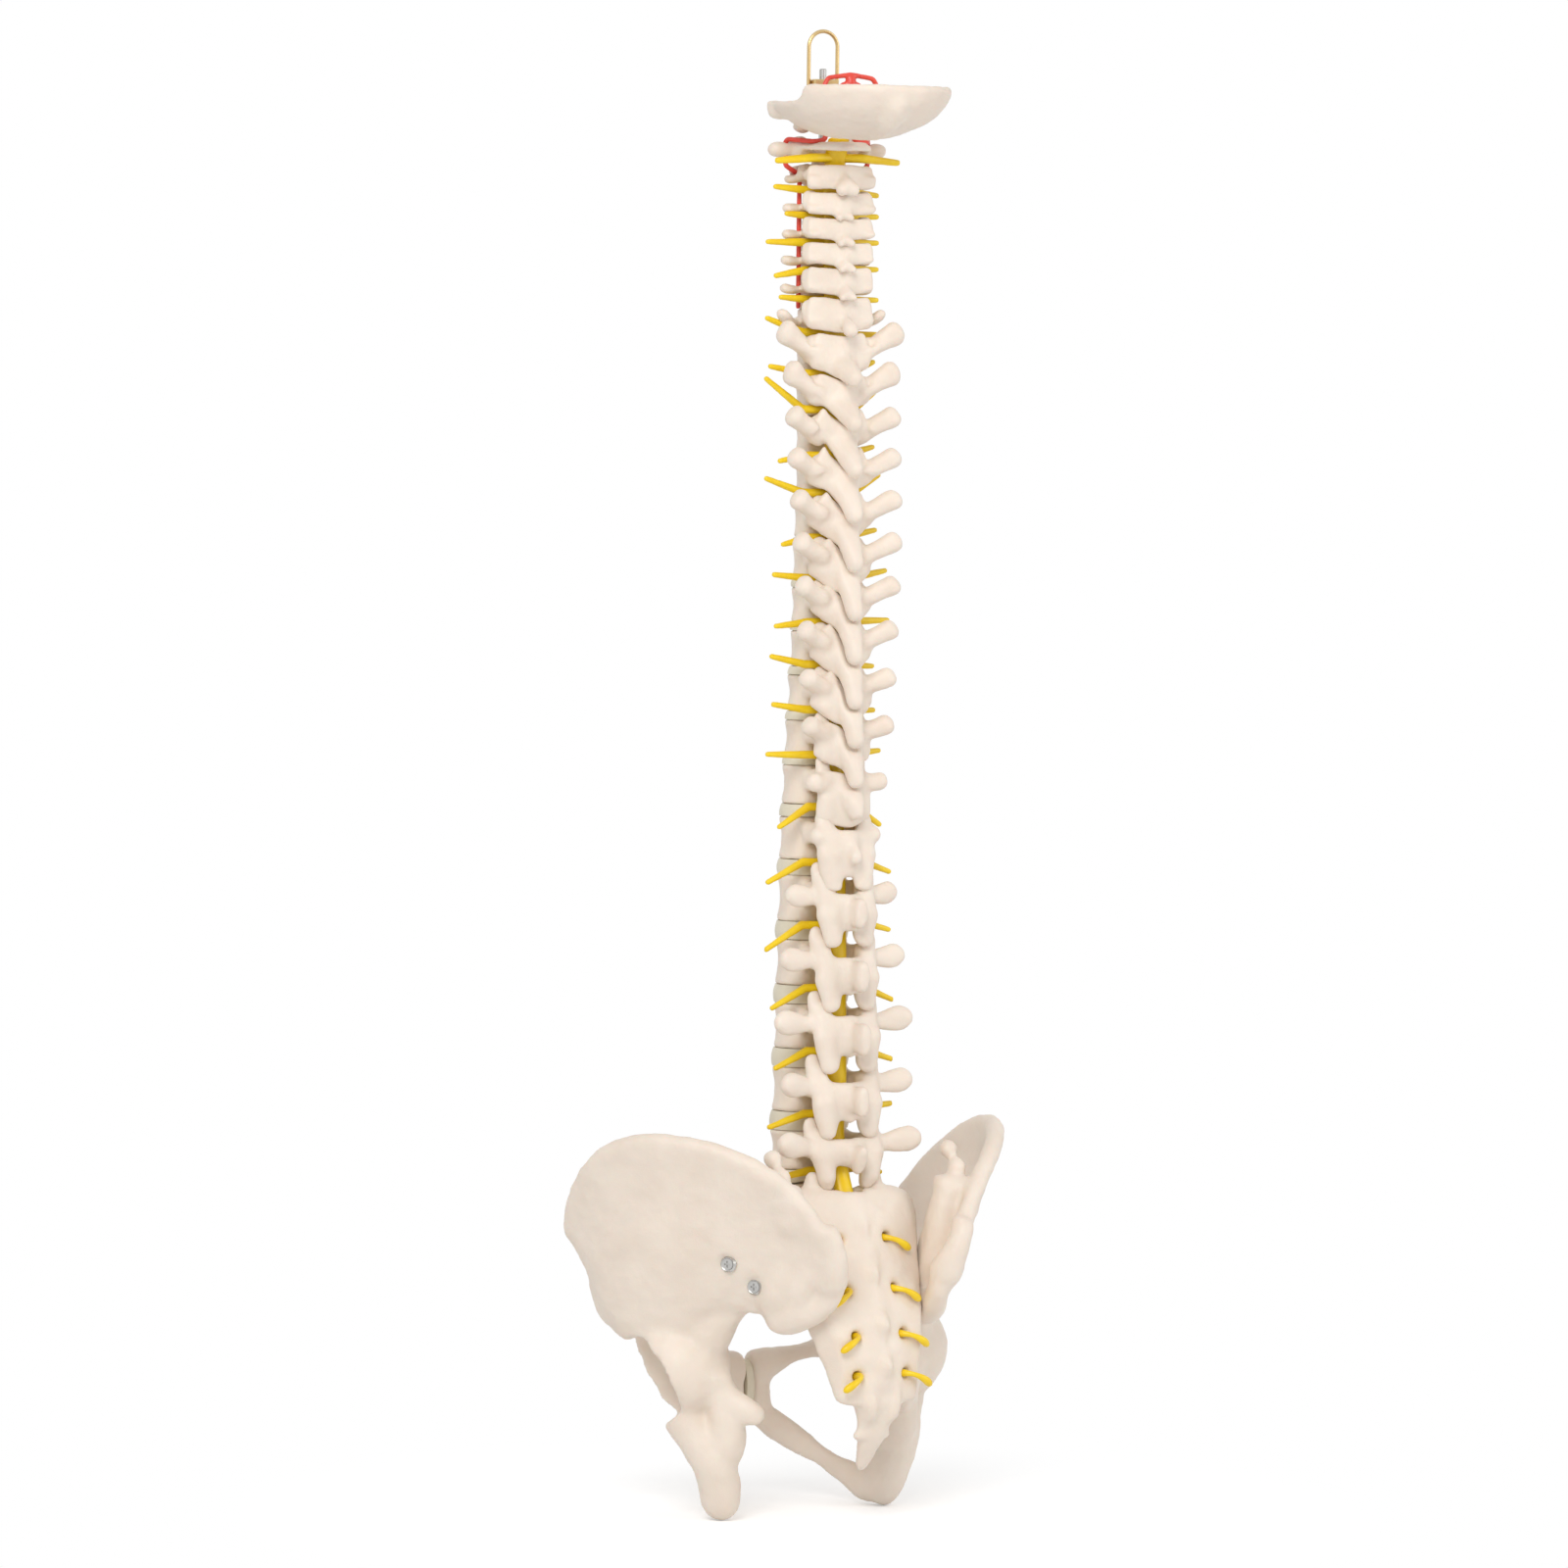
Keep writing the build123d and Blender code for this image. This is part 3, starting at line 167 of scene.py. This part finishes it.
def mottle(tree, shader, dark, light, size, bump, bump_size):
    """Uneven colour between two tones, and fine relief"""
    place = tree.nodes.new("ShaderNodeTexCoord")
    spots = tree.nodes.new("ShaderNodeTexNoise")
    spots.inputs["Scale"].default_value = size
    spots.inputs["Detail"].default_value = 4
    ramp = tree.nodes.new("ShaderNodeValToRGB")
    ramp.color_ramp.elements[0].position = 0.35
    ramp.color_ramp.elements[0].color = (*dark, 1)
    ramp.color_ramp.elements[1].position = 0.65
    ramp.color_ramp.elements[1].color = (*light, 1)
    grain = tree.nodes.new("ShaderNodeTexNoise")
    grain.inputs["Scale"].default_value = bump_size
    grain.inputs["Detail"].default_value = 3
    relief = tree.nodes.new("ShaderNodeBump")
    relief.inputs["Strength"].default_value = bump
    relief.inputs["Distance"].default_value = 0.0004
    link = tree.links.new
    link(place.outputs["Object"], spots.inputs["Vector"])
    link(place.outputs["Object"], grain.inputs["Vector"])
    link(spots.outputs["Fac"], ramp.inputs["Fac"])
    link(ramp.outputs["Color"], shader.inputs["Base Color"])
    link(grain.outputs["Fac"], relief.inputs["Height"])
    link(relief.outputs["Normal"], shader.inputs["Normal"])


def plastic(name, dark, light, roughness, size, bump, bump_size, **inputs):
    material, tree, shader = principled(name, light, roughness, **inputs)
    mottle(tree, shader, dark, light, size, bump, bump_size)
    return material


def metal(name, colour, roughness, bump):
    material, tree, shader = principled(name, colour, roughness, Metallic=1.0)
    dark = tuple(0.9 * part for part in colour)
    mottle(tree, shader, dark, colour, 140, bump, 1800)
    return material


bone = plastic("bone", (0.80, 0.69, 0.585), (0.85, 0.745, 0.64), 0.5, 34, 0.35, 900,
               Subsurface_Weight=0.12, Subsurface_Scale=0.004)
cushion = plastic("disc", (0.69, 0.63, 0.49), (0.75, 0.69, 0.55), 0.42, 60, 0.25, 1200)
nerve = plastic("nerve", (0.88, 0.58, 0.004), (0.93, 0.66, 0.008), 0.36, 90, 0.2, 1500)
artery = plastic("artery", (0.75, 0.06, 0.04), (0.82, 0.085, 0.055), 0.34, 120, 0.2, 1500)
brass = metal("brass", (0.66, 0.48, 0.23), 0.3, 0.08)
steel = metal("steel", (0.56, 0.55, 0.53), 0.28, 0.1)
core = metal("core", (0.5, 0.5, 0.49), 0.36, 0.12)

FINISH = {"bone": bone, "disc": cushion, "nerve": nerve, "artery": artery, "brass": brass,
          "steel": steel, "core": core}


def slot_of(node):
    if node.startswith("disc_") or node == "pubic_symphysis":
        return "disc"
    if node in ("spinal_cord", "spinal_nerves"):
        return "nerve"
    plain = {"vertebral_arteries": "artery", "core_rod": "core", "hanger_loop": "brass",
             "hanger_block": "brass", "rod_nuts": "steel", "hip_screws": "steel"}
    return plain.get(node, "bone")


class Field:
    """Signed distances, in millimetres, on a lattice round one piece; below nought is inside"""

    def __init__(self, node, grain, margin=7.0):
        self.grain = grain
        low, high = (np.array(corner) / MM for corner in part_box(node))
        self.start = np.floor((low - margin) / grain).astype(int)
        self.count = np.ceil((high + margin) / grain).astype(int) - self.start
        self.scale = openvdb.createLinearTransform(voxelSize=grain)
        axes = [(self.start[k] + np.arange(self.count[k])) * grain for k in range(3)]
        self.x, self.y, self.z = np.meshgrid(*axes, indexing="ij", sparse=True)
        self.value = self.of_node(node)

    def of_node(self, node):
        mesh = frame["nodes"][node].data
        mesh.calc_loop_triangles()
        points = np.empty(3 * len(mesh.vertices), np.float32)
        mesh.vertices.foreach_get("co", points)
        corners = np.empty(3 * len(mesh.loop_triangles), np.int32)
        mesh.loop_triangles.foreach_get("vertices", corners)
        band = BAND / self.grain
        grid = openvdb.FloatGrid.createLevelSetFromPolygons(
            points.reshape(-1, 3) / MM, triangles=corners.reshape(-1, 3), transform=self.scale,
            halfWidth=band)
        values = np.empty(self.count, np.float32)
        grid.copyToArray(values, ijk=tuple(int(k) for k in self.start))
        return values

    def add(self, shape, blend=1.5, layers=slice(None)):
        """Joins a shape with a rounded hollow along the seam"""
        value = self.value[:, :, layers]
        mixed = np.clip(0.5 + 0.5 * (shape - value) / blend, 0, 1)
        self.value[:, :, layers] = shape + (value - shape) * mixed - blend * mixed * (1 - mixed)

    def layers(self, low, high):
        """Layers of the lattice between two heights"""
        first = max(0, int(low / self.grain) - self.start[2])
        return slice(first, int(high / self.grain) - self.start[2])

    def cut(self, shape, blend=0.6):
        mixed = np.clip(0.5 - 0.5 * (self.value + shape) / blend, 0, 1)
        self.value = self.value + (-shape - self.value) * mixed + blend * mixed * (1 - mixed)

    def soften(self, rounds):
        for _ in range(rounds):
            for axis in range(3):
                self.value = 0.25 * (np.roll(self.value, 1, axis) + np.roll(self.value, -1, axis)) \
                    + 0.5 * self.value

    def mesh(self, name):
        grid = openvdb.FloatGrid(background=BAND)
        grid.copyFromArray(self.value.astype(np.float32), ijk=tuple(int(k) for k in self.start))
        grid.transform = self.scale
        grid.gridClass = openvdb.GridClass.LEVEL_SET
        points, _, quads = grid.convertToPolygons(isovalue=0)
        mesh = bpy.data.meshes.new(name)
        mesh.from_pydata((points * MM).tolist(), [], quads[:, ::-1].tolist())
        mesh.update()
        obj = bpy.data.objects.new(name, mesh)
        bpy.context.scene.collection.objects.link(obj)
        return obj


def turned(field, angle):
    """Lattice coordinates turned back to the frame of a vertebra"""
    c, s = math.cos(angle), math.sin(angle)
    return field.x * c + field.y * s, field.y * c - field.x * s, field.z


def rod(place, start, end, first, last, power=2.0, up=(0, 0, 1)):
    """Rounded bar between two points, with half width and half height at either end"""
    x, y, z = place
    start, end = np.array(start, float), np.array(end, float)
    reach = np.linalg.norm(end - start)
    ahead = (end - start) / reach
    across = np.cross(ahead, up)
    across /= np.linalg.norm(across)
    over = np.cross(across, ahead)
    dx, dy, dz = x - start[0], y - start[1], z - start[2]
    along = dx * ahead[0] + dy * ahead[1] + dz * ahead[2]
    share = np.clip(along / reach, 0, 1)
    wide = first[0] + (last[0] - first[0]) * share
    high = first[1] + (last[1] - first[1]) * share
    thin = np.minimum(wide, high)
    u = np.abs(dx * across[0] + dy * across[1] + dz * across[2]) / wide
    v = np.abs(dx * over[0] + dy * over[1] + dz * over[2]) / high
    w = np.abs(along - share * reach) / thin
    return ((u ** power + v ** power + w ** power) ** (1 / power) - 1) * thin


def path(place, *stations, power=2.0, up=(0, 0, 1)):
    """Bars joined end to end: x, y, z, half width, half height"""
    shape = None
    for a, b in zip(stations, stations[1:]):
        piece = rod(place, a[:3], b[:3], a[3:], b[3:], power, up)
        shape = piece if shape is None else np.minimum(shape, piece)
    return shape


def points_of(mesh):
    points = np.empty(3 * len(mesh.vertices), np.float32)
    mesh.vertices.foreach_get("co", points)
    normals = np.empty(3 * len(mesh.vertices), np.float32)
    mesh.vertices.foreach_get("normal", normals)
    return points.reshape(-1, 3).astype(float), normals.reshape(-1, 3).astype(float)


def put_points(mesh, points):
    mesh.vertices.foreach_set("co", points.astype(np.float32).ravel())
    mesh.update()


def roughen(obj, swell, ripple, seed):
    """Low swells and finer ripples over a surface"""
    points, normals = points_of(obj.data)
    shift = Vector((seed, 0.7 * seed, 0.3 * seed))
    height = np.array([swell * noise.noise(Vector(p) / SWELL_LENGTH + shift)
                       + ripple * noise.noise(Vector(p) / RIPPLE_LENGTH + shift) for p in points])
    put_points(obj.data, points + normals * height[:, None])


def dressed(obj, node):
    """Finish and smooth shading for a piece that stands for a node, hung under the root body, with the
    node hidden
    """
    name = slot_of(node)
    obj.data.materials.clear()
    obj.data.materials.append(FINISH[name])
    obj.data.shade_smooth()
    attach(obj, "root")
    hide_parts(node)
    return obj


def between(sizes, level):
    """Size at one level, on the line between the landmarks beside it"""
    ranks = [LEVELS.index(key) for key in sizes]
    return float(np.interp(LEVELS.index(level), ranks, list(sizes.values())))


def turn(z):
    """Turn of the column about the rod at a height in millimetres"""
    return math.radians(COLUMN_TURN) * max(0.0, z - TURN_START) / -TURN_START


def body_ends(level):
    """Heights of the top and underside of a vertebral body, read from its discs"""
    rank = LEVELS.index(level)
    below = LEVELS[rank + 1] if level != "l5" else "s1"
    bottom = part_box(f"disc_{level}_{below}")[1].z / MM
    if level == "c2":
        return bottom + AXIS_HEIGHT, bottom
    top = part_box(f"disc_{LEVELS[rank - 1]}_{level}")[0].z / MM
    return top, bottom


def centred(field, level):
    """Height of the middle of a vertebral body, and lattice coordinates turned back to its frame"""
    middle = 0.5 * sum(body_ends(level))
    return middle, turned(field, turn(middle))


def ball(place, x, y, z, radius):
    return np.sqrt((place[0] - x) ** 2 + (place[1] - y) ** 2 + (place[2] - z) ** 2) - radius


def plate(field, level, reach=PLATE_REACH):
    """Broad plate behind the canal whose outer ends lie higher than its middle"""
    place = centred(field, level)[1]
    back = -between(CANAL_BACK, level)
    joint = between(FACET_SIDE, level)
    side = joint + reach
    wall = 0.5 * between(PLATE_WALL, level)
    above = LEVELS[LEVELS.index(level) - 1]
    head = (AXIS_PLATE_HEAD if level == "c2" else PLATE_FOOT[above]) - 0.5 * PLATE_GAP
    foot = PLATE_FOOT[level] + 0.5 * PLATE_GAP
    half = 0.5 * (head - foot)
    centre = 0.5 * (head + foot)
    rise = between(SLANT, level) * side / (joint + PLATE_REACH)
    halves = [path(place, (way * side, back - 0.5, centre + rise, wall, 0.94 * half),
                   (0, back - 1.8 * wall, centre, wall, half), power=3.2) for way in (1, -1)]
    return np.minimum(*halves)


def spine_roof(field, level):
    """Slanting roof of a thoracic vertebra, broad at the plates and narrow at the tip behind"""
    middle, place = centred(field, level)
    back = -between(CANAL_BACK, level) - between(PLATE_WALL, level)
    tip = -between(SPINE_BACK, level)
    drop = between(SPINE_RISE, level)
    return path(place, (0, back + 1, middle - ROOF_DROP, 8.6, 5.5),
                (0, 0.55 * back + 0.45 * tip, middle - 0.45 * ROOF_DROP + 0.55 * drop, 5.8, 5.6),
                (0, tip + 3.5, middle + drop + 0.5, 3.7, 4.4), power=2.4)


def knobs(field, level):
    """Thick blunt ends of the transverse processes"""
    middle, place = centred(field, level)
    radius = between(KNOB, level)
    height = middle + between(TIP_RISE, level) - 0.5 + between(KNOB_LIFT, level)
    span = between(SPAN, level) - 0.8 * radius
    back = between(TIP_BACK, level)
    for way in (1, -1):
        field.add(path(place, (way * 0.45 * span, -0.72 * back, middle + 2, 0.6 * radius, 0.8 * radius),
                       (way * span, -back, height, 0.8 * radius, radius), power=2.6), 3.0)


def forks(field, level):
    """Two short horns at the tip of a cervical spinous process"""
    middle, place = centred(field, level)
    tip = -between(SPINE_BACK, level)
    height = middle + between(SPINE_RISE, level)
    for way in (1, -1):
        field.add(rod(place, (way, tip + 6, height + 1), (3.8 * way, tip + 0.5, height - 1.5),
                      (2.6, 2.6), (2.0, 2.4)), 1.5)


def saddle(field, level):
    """Lumbar plates that swell into the joints on both sides of the gap below"""
    top = body_ends(level)[0]
    place = centred(field, level)[1]
    back = -between(CANAL_BACK, level)
    side = between(FACET_SIDE, level)
    head, foot = LUMBAR_PLATE[level]
    half = 0.5 * (head - foot)
    centre = 0.5 * (head + foot)
    for way in (1, -1):
        field.add(rod(place, (way * (side + 1), back - 2.5, centre + 2), (0, back - 5.5, centre),
                      (3.4, half), (3.4, 0.94 * half), power=2.8), 2.0)
        field.add(path(place, (way * (side + 1.5), back + 0.5, top - 1, 5.0, 3.6),
                       (way * (side + 0.5), back - 2.5, centre, 6.2, 4.2), up=(0, 1, 0)), 3.0)
        field.add(path(place, (way * side, back - 3.5, centre, 6.2, 4.2),
                       (way * (side - 2), back - 5.0, foot - 6, 5.6, 3.6), up=(0, 1, 0)), 3.0)


def moulded(field, node, rounds, depth, seed):
    """Softens the lattice and turns it into the finished piece that stands for a node"""
    field.soften(rounds)
    obj = field.mesh(f"{node}_moulded")
    roughen(obj, depth[0] * SWELL, depth[1] * RIPPLE, seed)
    dressed(obj, node)


def vertebrae():
    for rank, level in enumerate(LEVELS):
        node = "axis_c2" if level == "c2" else f"vertebra_{level}"
        field = Field(node, VERTEBRA_GRAIN)
        above, below = LEVELS[rank - 1], LEVELS[(rank + 1) % len(LEVELS)]
        if level != "l5" and below in SHINGLED:
            field.cut(plate(field, below, ROOM_REACH) - PLATE_GAP, 0.6)
        if level in SHINGLED:
            field.add(plate(field, level), 1.2)
        if level in ROOFED:
            field.add(spine_roof(field, level), 2.0)
        if level in KNOBBED:
            knobs(field, level)
        if level in FORKED:
            forks(field, level)
        if level in LUMBAR_PLATE:
            saddle(field, level)
        if level != "c2" and above in ROOFED:
            field.cut(spine_roof(field, above) - PLATE_GAP, 0.8)
        moulded(field, node, 2, (1, 1), 3 + rank)


def sacral_back(field):
    """Wall behind the sacral canal, with shallow pits between the tubercles of its crest"""
    place = (field.x, field.y, field.z - SACRUM_TOP)
    field.add(path(place, (0, -44, -2, 9, 2.6), (0, -48, -12, 9, 2.8), (0, -53, -30, 8, 3),
                   (0, -60, -50, 8, 3), (0, -66, -70, 8, 3), (0, -70.5, -90, 7, 3),
                   (0, -71, -106, 6, 3), power=2.6, up=(0, 1, 0)), 2.5)
    for x, y, z in CREST_PITS:
        field.cut(rod(place, (x, y, z - 2.5), (x, y, z + 2.5), (2.4, 2.0), (2.4, 2.0), up=(0, 1, 0)), 1.2)


def hip_swells(field, way):
    """Fills the hollow before the rear corner and raises the rough ridge behind the sacral joint"""
    place = (way * field.x, field.y, field.z - SACRUM_TOP)
    field.add(path(place, (49, -66, -42, 5, 6), (51, -60, -54, 5, 6), (50, -54, -64, 5, 6),
                   up=(1, 0, 0)), 4.0)
    for x, y, z in RIDGE:
        field.add(ball(place, x, y, z, RIDGE_WIDTH), 5.0)


def ragged_front(field):
    """Broken-looking front edge of the skull base, low at the left"""
    wave = 1.4 * np.sin(field.y / 3 + field.z / 4)
    across = BACK_SHARE[0] * field.x + BACK_SHARE[1] * field.y + wave
    field.cut(across - FRONT_LIMIT, 1.0)
    field.cut(np.maximum(across - FRONT_WALL - 0.35 * (field.z - WING_TOP), WING_TOP - field.z), 1.0)


def large_bones():
    for rank, node in enumerate(("sacrum", "left_hip_bone", "right_hip_bone", "occipital_plate")):
        field = Field(node, LARGE_GRAIN)
        if node == "sacrum":
            sacral_back(field)
        elif node == "occipital_plate":
            ragged_front(field)
        else:
            hip_swells(field, 1 if node.startswith("right") else -1)
        moulded(field, node, 3, (1.4, 1.4), 50 + rank)
    moulded(Field("atlas_c1", VERTEBRA_GRAIN), "atlas_c1", 2, (1, 1), 60)


def nerve_pair(field, height, back, tips, widths, inner, knee):
    """Tapered nerves with blunt ends, each from its inner end over a knee to its tip.

    A tip is its side, its reach, the height of its root and its own height. The inner end is
    (side, back), the knee (share of the reach, back), both set against the tip's own back.
    """
    x, y, z = turned(field, turn(height))
    first, last = widths
    for way, reach, root, end in tips:
        layers = field.layers(min(end, root) - 6, max(end, root) + 6)
        field.add(path((x, y, z[:, :, layers]),
                       (way * inner[0], back + inner[1], root, first, first),
                       (way * knee[0] * reach, back + knee[1], root, first, first),
                       (way * reach, back, end, last, last), power=2.8), 1.0, layers)


def column_nerves(field):
    """Nerves that come out between the vertebrae, in place of the lattice's plain ones"""
    field.value[:, :, field.layers(*COLUMN_NERVES)] = BAND
    for level in LEVELS:
        bottom = body_ends(level)[1]
        tips = []
        for way, known in ((1, RIGHT_TIP), (-1, LEFT_TIP)):
            reach, end = known.get(level, (PLAIN_REACH, bottom + PLAIN_LIFT))
            tips.append((way, reach, bottom + 1.0 + 0.15 * (end - bottom), end))
        nerve_pair(field, bottom, -between(NERVE_BACK, level), tips, (NERVE_ROOT, NERVE_TIP),
                   inner=(3, -5), knee=(0.45, -1))
    reach, back, height = FIRST_NERVE
    tips = [(way, reach, height, height - 2) for way in (1, -1)]
    nerve_pair(field, height, back, tips, (FIRST_ROOT, FIRST_TIP), inner=(2, 2), knee=(0.4, 0))


def soft_parts():
    for rank, (node, grain) in enumerate(SOFT_GRAIN.items()):
        field = Field(node, grain, 3.0)
        if node == "spinal_nerves":
            column_nerves(field)
        moulded(field, node, 1, (0.3, 0.6), 80 + rank)


def carried_over():
    for node, obj in frame["nodes"].items():
        finish = FINISH[slot_of(node)]
        for place in obj.material_slots:
            place.material = finish
        if not obj.material_slots:
            obj.data.materials.append(finish)


def camera():
    out = Vector((math.sin(AZIMUTH) * math.cos(ELEVATION), -math.cos(AZIMUTH) * math.cos(ELEVATION),
                  math.sin(ELEVATION)))
    right = Vector((math.cos(AZIMUTH), math.sin(AZIMUTH), 0))
    up = out.cross(right)
    tilted_right = right * math.cos(ROLL) + up * math.sin(ROLL)
    tilted_up = up * math.cos(ROLL) - right * math.sin(ROLL)
    aim = Vector((0, 0, AIM_HEIGHT)) - tilted_right * AIM_LEFT
    data = bpy.data.cameras.new("camera")
    data.lens = LENS
    data.clip_end = 60
    obj = bpy.data.objects.new("camera", data)
    facing = Matrix((tilted_right, tilted_up, out)).transposed().to_4x4()
    facing.translation = aim + out * DISTANCE
    obj.matrix_world = facing
    bpy.context.scene.collection.objects.link(obj)
    bpy.context.scene.camera = obj


def seen_rays(tree):
    """1 for what the camera sees, also in a shine or through a clear piece"""
    rays = tree.nodes.new("ShaderNodeLightPath")
    direct = tree.nodes.new("ShaderNodeMath")
    direct.operation = "ADD"
    direct.use_clamp = True
    every = tree.nodes.new("ShaderNodeMath")
    every.operation = "ADD"
    every.use_clamp = True
    tree.links.new(rays.outputs["Is Camera Ray"], direct.inputs[0])
    tree.links.new(rays.outputs["Is Glossy Ray"], direct.inputs[1])
    tree.links.new(direct.outputs[0], every.inputs[0])
    tree.links.new(rays.outputs["Is Transmission Ray"], every.inputs[1])
    return every.outputs[0]


def backdrop(low):
    """White floor that keeps the soft shadow near the middle and fades into the background"""
    mesh = bpy.data.meshes.new("floor")
    corners = [(x * FLOOR_HALF, y * FLOOR_HALF, 0) for x, y in ((-1, -1), (1, -1), (1, 1), (-1, 1))]
    mesh.from_pydata(corners, [], [(0, 1, 2, 3)])
    floor = bpy.data.objects.new("floor", mesh)
    floor.location.z = low
    bpy.context.scene.collection.objects.link(floor)
    material, tree, shader = principled("floor", (0.9, 0.9, 0.9), 0.95)
    shader.inputs["Specular IOR Level"].default_value = 0.0
    shader.inputs["Emission Color"].default_value = (1, 1, 1, 1)
    glow = tree.nodes.new("ShaderNodeMath")
    glow.operation = "MULTIPLY"
    glow.inputs[1].default_value = FLOOR_GLOW
    place = tree.nodes.new("ShaderNodeTexCoord")
    far = tree.nodes.new("ShaderNodeVectorMath")
    far.operation = "LENGTH"
    fade = tree.nodes.new("ShaderNodeMapRange")
    fade.interpolation_type = "SMOOTHSTEP"
    fade.inputs["From Min"].default_value = FADE_START
    fade.inputs["From Max"].default_value = FADE_END
    white = tree.nodes.new("ShaderNodeEmission")
    share = tree.nodes.new("ShaderNodeMath")
    share.operation = "MULTIPLY"
    mix = tree.nodes.new("ShaderNodeMixShader")
    seen = seen_rays(tree)
    link = tree.links.new
    link(seen, glow.inputs[0])
    link(glow.outputs[0], shader.inputs["Emission Strength"])
    link(place.outputs["Object"], far.inputs[0])
    link(far.outputs["Value"], fade.inputs["Value"])
    link(fade.outputs["Result"], share.inputs[0])
    link(seen, share.inputs[1])
    link(share.outputs[0], mix.inputs["Fac"])
    link(shader.outputs[0], mix.inputs[1])
    link(white.outputs[0], mix.inputs[2])
    link(mix.outputs[0], tree.nodes["Material Output"].inputs["Surface"])
    mesh.materials.append(material)


def area(name, place, size, power):
    """Round soft light aimed at the middle of the column"""
    data = bpy.data.lights.new(name, "AREA")
    data.shape = "DISK"
    data.size = size
    data.energy = power
    obj = bpy.data.objects.new(name, data)
    obj.location = place
    obj.rotation_euler = (Vector(LIT_AT) - Vector(place)).to_track_quat("-Z", "Y").to_euler()
    bpy.context.scene.collection.objects.link(obj)


def world():
    scene = bpy.context.scene
    scene.world = scene.world or bpy.data.worlds.new("world")
    scene.world.use_nodes = True
    tree = scene.world.node_tree
    tree.nodes.clear()
    output = tree.nodes.new("ShaderNodeOutputWorld")
    soft = tree.nodes.new("ShaderNodeBackground")
    soft.inputs["Color"].default_value = (1, 1, 1, 1)
    soft.inputs["Strength"].default_value = SKY
    white = tree.nodes.new("ShaderNodeBackground")
    white.inputs["Color"].default_value = (1, 1, 1, 1)
    white.inputs["Strength"].default_value = 1.0
    mix = tree.nodes.new("ShaderNodeMixShader")
    link = tree.links.new
    link(seen_rays(tree), mix.inputs["Fac"])
    link(soft.outputs[0], mix.inputs[1])
    link(white.outputs[0], mix.inputs[2])
    link(mix.outputs[0], output.inputs["Surface"])


vertebrae()
large_bones()
soft_parts()
carried_over()
camera()
world()
lowest = min(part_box(node)[0].z for node in ("left_hip_bone", "right_hip_bone"))
backdrop(lowest)
area("key", (-2.6, -2.4, 1.8), 1.8, 74)
area("fill", (2.4, -3.0, 0.6), 2.2, 26)
bpy.context.scene.view_settings.view_transform = "Standard"


def plain(corners):
    return [[float(value) for value in corner] for corner in corners]
